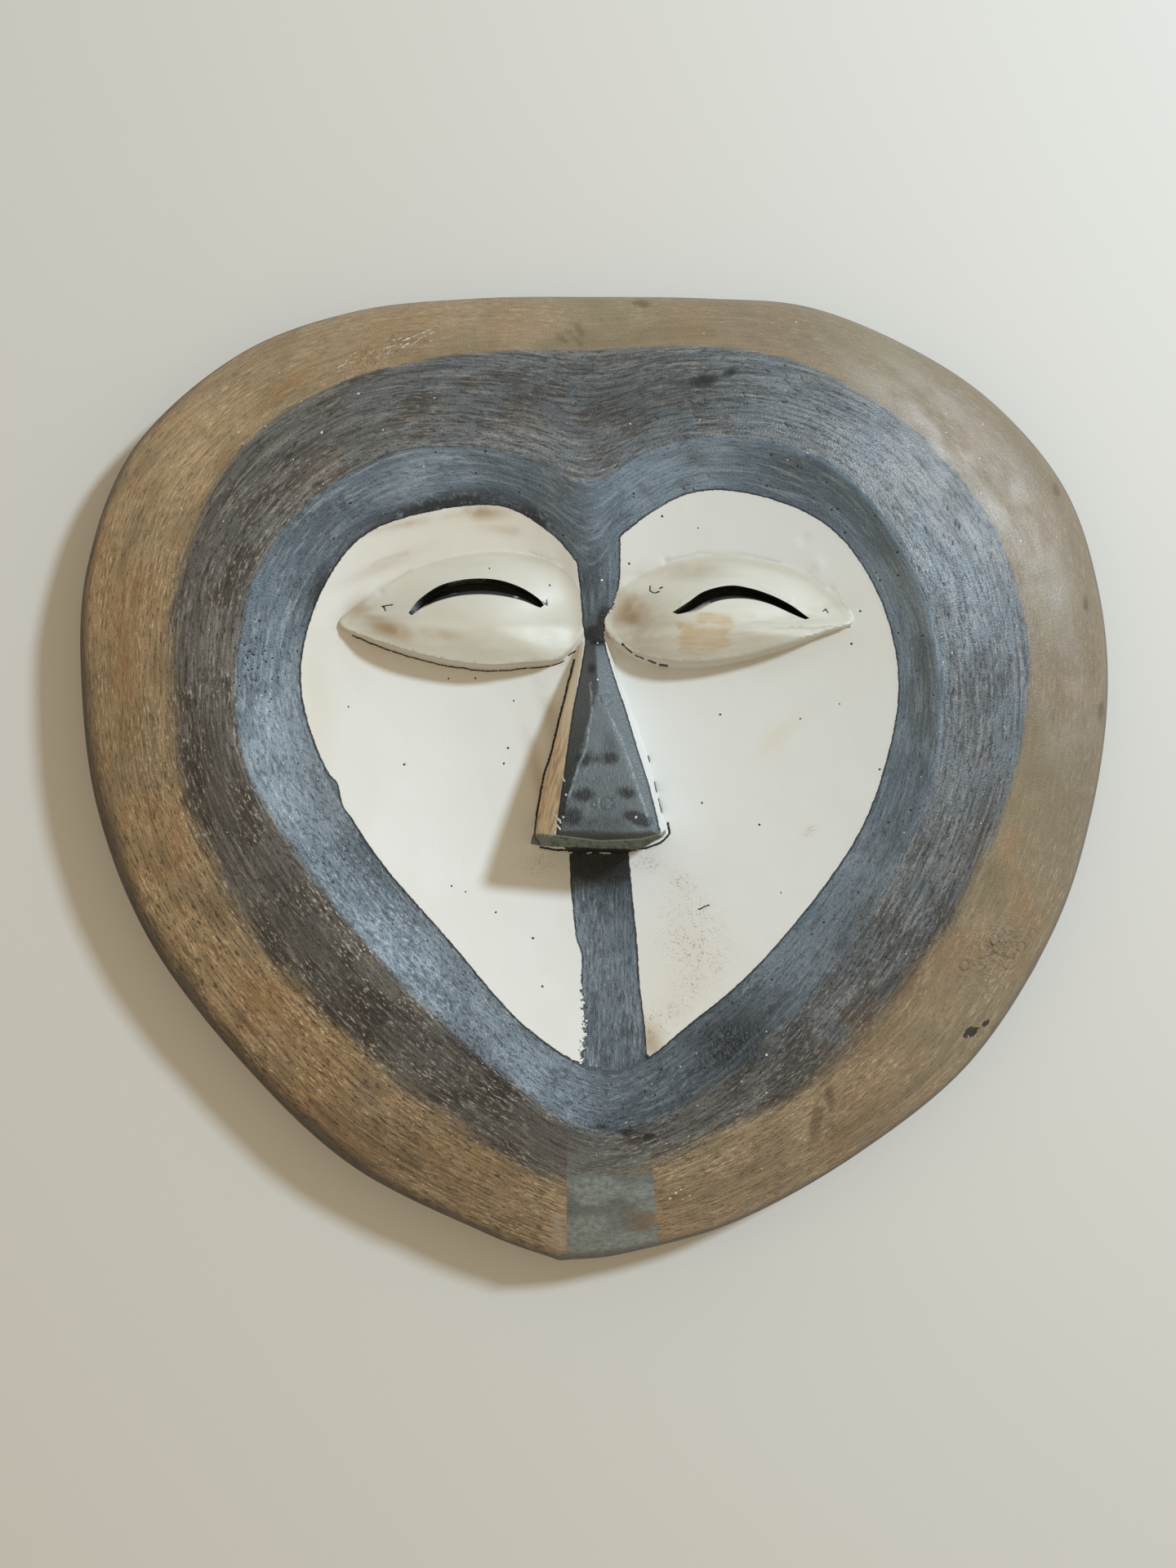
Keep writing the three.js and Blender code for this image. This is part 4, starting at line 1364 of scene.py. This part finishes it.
    def smudged_and_shadowed(self, color, most):
        """Dark smudges, with uneven edges, and painted shadow below the nose and between the eyes."""
        smudge_and_shadow = self.edge("smudge_and_shadow", self.nick, 0.15, 0.8)
        dark = self.mix(self.on_tan, tone(20, 22, 24), tone(84, 66, 47))
        return self.mix(self.times(smudge_and_shadow, most), color, dark)

    def nose(self, color):
        """Slate paint on the front of the nose, bare wood on its left side and white on its right."""
        grain = self.noise(self.place(0.7, 0.13, 0.7))
        wood = self.mix(self.step(self.up, 30, -6), tone(244, 235, 218), tone(224, 202, 170))
        grain = self.times(self.step(grain, 0.42, 0.62), self.step(self.up, 24, 4), 0.8)
        color = self.mix(self.attribute("left_side"), color, self.coats(wood, (grain, (164, 136, 102))))
        painted = self.edge("stripe", self.times(self.nick, 0.3), 0, 0.2)
        slate = self.mix(self.share("patch", -0.5, 0.6), tone(108, 117, 123), tone(84, 92, 97))
        # Painted light and shade: the right bevel, towards the lamp, is lighter, and the left bevel darker,
        # most at its lower end
        slate = self.mix(self.attribute("right_bevel_painted_lit"), slate, tone(98, 107, 112))
        left = self.mix(self.step(self.up, 24, -8), tone(74, 80, 85), tone(42, 46, 50))
        slate = self.mix(self.attribute("left_bevel_painted_shaded"), slate, left)
        slate = self.mix(self.share("lip", -2.4, -0.8, 0.7), slate, tone(60, 68, 66))
        # Lighter and darker places, by tone and by painted light and shade, then smudges and painted shadow
        slate = self.smudged_and_shadowed(self.dimmed(slate, self.attribute("tone_and_painted_light")), 0.85)
        # Worn paint on the ridges, lightened as a painted highlight too
        worn_and_highlit = self.times(self.attribute("worn_and_highlit"), self.step(self.ragged, 0.36, 0.6), 0.75)
        slate = self.mix(worn_and_highlit, slate, tone(156, 164, 168))
        slate = self.mix(self.share("stripe", 0.7, 0.3, 0.8), slate, tone(22, 23, 25))
        on_nose = self.share("nose", 0, 0.3)
        color = self.mix(self.times(on_nose, painted), color, slate)
        lip = self.mix(self.step(self.ragged, 0.4, 0.62), tone(102, 109, 103), tone(74, 80, 76))
        # Painted highlight: lighter along the lip's upper edge
        lip = self.mix(self.share("lip", 0.6, 0.1), lip, tone(134, 141, 135))
        return self.mix(self.times(on_nose, self.share("lip", -0.1, 0.1)), color, lip)

    def marks(self, color):
        """Chips, cracks, specks and crumbs, and the dark inside of the slits."""
        # Faint marks darken the colour: dirt on slashes and rings, painted shade in the creases
        color = self.dimmed(color, self.add(self.times(self.attribute("faint"), -0.4), 1.0))
        chip = self.edge("chip", self.times(self.nick, 0.9), 0.42, 0.52)
        shaky = self.around(self.crumbs, 0.7)
        ink = self.edge("ink", shaky, 0.36, 0.6)
        light = self.edge("light", shaky, 0.4, 0.62)
        color = self.coats(color, (chip, (44, 39, 36)), (ink, (26, 22, 19)), (light, (214, 214, 208)))
        flakes = self.edge("flakes", self.around(self.crumbs, 1.4), 0.35, 0.55)
        inside = self.mix(flakes, tone(56, 57, 58), tone(204, 204, 204))
        return self.mix(self.share("cut", 0.3, 0.9), color, inside)

    def color(self):
        color = self.mix(self.on_tan, self.band(), self.tan())
        color = self.mix(self.on_blue, color, self.blue())
        color = self.rubbed(self.chin_stripe(color))
        # Painted light and shade, with the paint's own lighter and darker places
        color = self.dimmed(color, self.attribute("tone_and_painted_light"))
        # Painted sheen, whitish, over the border at the upper right
        painted_sheen_and_pale_strip = self.times(self.attribute("painted_sheen_and_pale_strip"), self.share("patch", 1.4, -0.8, 0.65))
        color = self.mix(painted_sheen_and_pale_strip, color, tone(200, 195, 192))
        # Smudges, and painted shadow below the nose and between the eyes
        color = self.smudged_and_shadowed(color, self.mix_value(self.on_tan, 0.92, 0.6))
        # Darker paint in a strip just outside the white's edge
        dark_strip_outside_white = self.times(self.attribute("dark_strip_outside_white"), self.step(self.ragged, 0.26, 0.5))
        dark_strip_outside_white = self.times(dark_strip_outside_white, self.share("white", -6.5, -1, 0.95))
        outline = self.times(self.step(self.white_edge, -0.75, -0.25), self.step(self.ragged, 0.3, 0.42))
        color = self.coats(color, (dark_strip_outside_white, (38, 42, 46)), (self.times(outline, 0.85), (26, 27, 29)))
        color = self.mix(self.on_white, color, self.chalk())
        color = self.marks(self.nose(color))
        # Painted shade along the rim: darkest and browner away from the lamp, lighter towards it
        rim = self.mix(self.lamp_side, tone(46, 35, 25), tone(88, 76, 61))
        color = self.mix(self.share("rim", 0, 0.9, 0.92), color, rim)
        wood = self.noise(self.place(0.4, 0.03, 0.4))
        wood = self.mix(self.step(wood, 0.3, 0.7), tone(106, 84, 59), tone(148, 121, 88))
        wood = self.mix(self.share("cloud", -0.8, 0.8, 0.45), wood, tone(94, 74, 52))
        return self.mix(self.edge("back", self.nick, 0.3, 0.8), color, wood)

    def roughness(self):
        paint = self.mix_value(self.on_tan, 0.44, self.mix_value(self.lamp_side, 0.54, 0.42))
        paint = self.mix_value(self.on_white, paint, 0.52)
        return self.add(paint, self.times(self.attribute("patch"), 0.07))

    def relief(self):
        """Height of the grain and of the paint's thickness, in millimetres."""
        grain = self.add(self.times(self.dark_dash, -0.15), self.times(self.pale_dash_and_glint, 0.06))
        grain = self.times(grain, self.add(self.coarse, 0.2), self.mix_value(self.on_white, 1.0, 0.05))
        speckle = self.around(self.crumbs, self.mix_value(self.on_white, 0.18, 0.012))
        crumpled = self.times(self.attribute("crumpled"), self.around(self.ragged, 1.6))
        front = self.add(grain, speckle, crumpled, self.times(self.on_white, 0.1))
        return self.mix_value(self.attribute("back"), front, self.around(self.ragged, 0.3))


def painted_wood():
    material = bpy.data.materials.new("painted_wood_worn")
    material.use_nodes = True
    wood = PaintedWood(material)
    wood.put(wood.shader.inputs["Base Color"], wood.color())
    wood.put(wood.shader.inputs["Roughness"], wood.roughness())
    wood.put(wood.shader.inputs["Normal"], wood.bump(wood.relief()))
    return material


# The lamp, the light of the room and the camera, in metres and watts
LAMP_AWAY = 1.3
LAMP_AZIMUTH = math.radians(35)
LAMP_ELEVATION = math.radians(40)
LAMP_WIDTH = 0.16
LAMP_ENERGY = 14.2
LAMP_COLOR = (0.71, 0.87, 1)
ROOM_COLOR = (1, 0.835, 0.59, 1)
ROOM_LIGHT = 0.525
CAMERA_PLACE = (-0.00192, -0.00126, 0.45)
SENSOR = 36
LENS = 34.07
FLOOR_SIZE = 4
FLOOR_DROP = 0.0002


def pale_floor():
    """A plain pale floor."""
    bpy.ops.mesh.primitive_plane_add(size=FLOOR_SIZE, location=(0, 0, -FLOOR_DROP))
    floor = bpy.context.object
    floor.name = "floor"
    material = bpy.data.materials.new("pale_floor")
    material.use_nodes = True
    shader = material.node_tree.nodes["Principled BSDF"]
    shader.inputs["Base Color"].default_value = tone(214, 212, 208)
    shader.inputs["Roughness"].default_value = 0.8
    floor.data.materials.append(material)
    floor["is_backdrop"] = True


def studio_light():
    """One soft lamp high on the upper right, and even light from all round."""
    flat = LAMP_AWAY * math.cos(LAMP_ELEVATION)
    lamp = bpy.data.lights.new("key", "AREA")
    lamp.shape = "DISK"
    lamp.size = LAMP_WIDTH
    lamp.energy = LAMP_ENERGY
    lamp.color = LAMP_COLOR
    key = bpy.data.objects.new("key", lamp)
    key.location = (
        flat * math.cos(LAMP_AZIMUTH),
        flat * math.sin(LAMP_AZIMUTH),
        LAMP_AWAY * math.sin(LAMP_ELEVATION),
    )
    key.rotation_euler = (-key.location).to_track_quat("-Z", "Y").to_euler()
    bpy.context.scene.collection.objects.link(key)
    world = bpy.data.worlds.new("room")
    world.use_nodes = True
    background = world.node_tree.nodes["Background"]
    background.inputs["Color"].default_value = ROOM_COLOR
    background.inputs["Strength"].default_value = ROOM_LIGHT
    bpy.context.scene.world = world


def straight_down_camera():
    """A camera above the face, looking straight down."""
    camera = bpy.data.cameras.new("camera")
    camera.sensor_width = SENSOR
    camera.lens = LENS
    camera.clip_start = 0.01
    holder = bpy.data.objects.new("camera", camera)
    holder.location = CAMERA_PLACE
    bpy.context.scene.collection.objects.link(holder)
    bpy.context.scene.camera = holder


def plain_lists(box):
    return [[round(value, 6) for value in corner] for corner in box]


mask = make_mask()
mask.data.materials.append(painted_wood())
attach(mask, "root")
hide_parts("mask")
pale_floor()
studio_light()
straight_down_camera()
bpy.context.scene.view_settings.view_transform = "Standard"

{"cad": plain_lists((cad_low, cad_high)), "visual": plain_lists(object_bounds())}
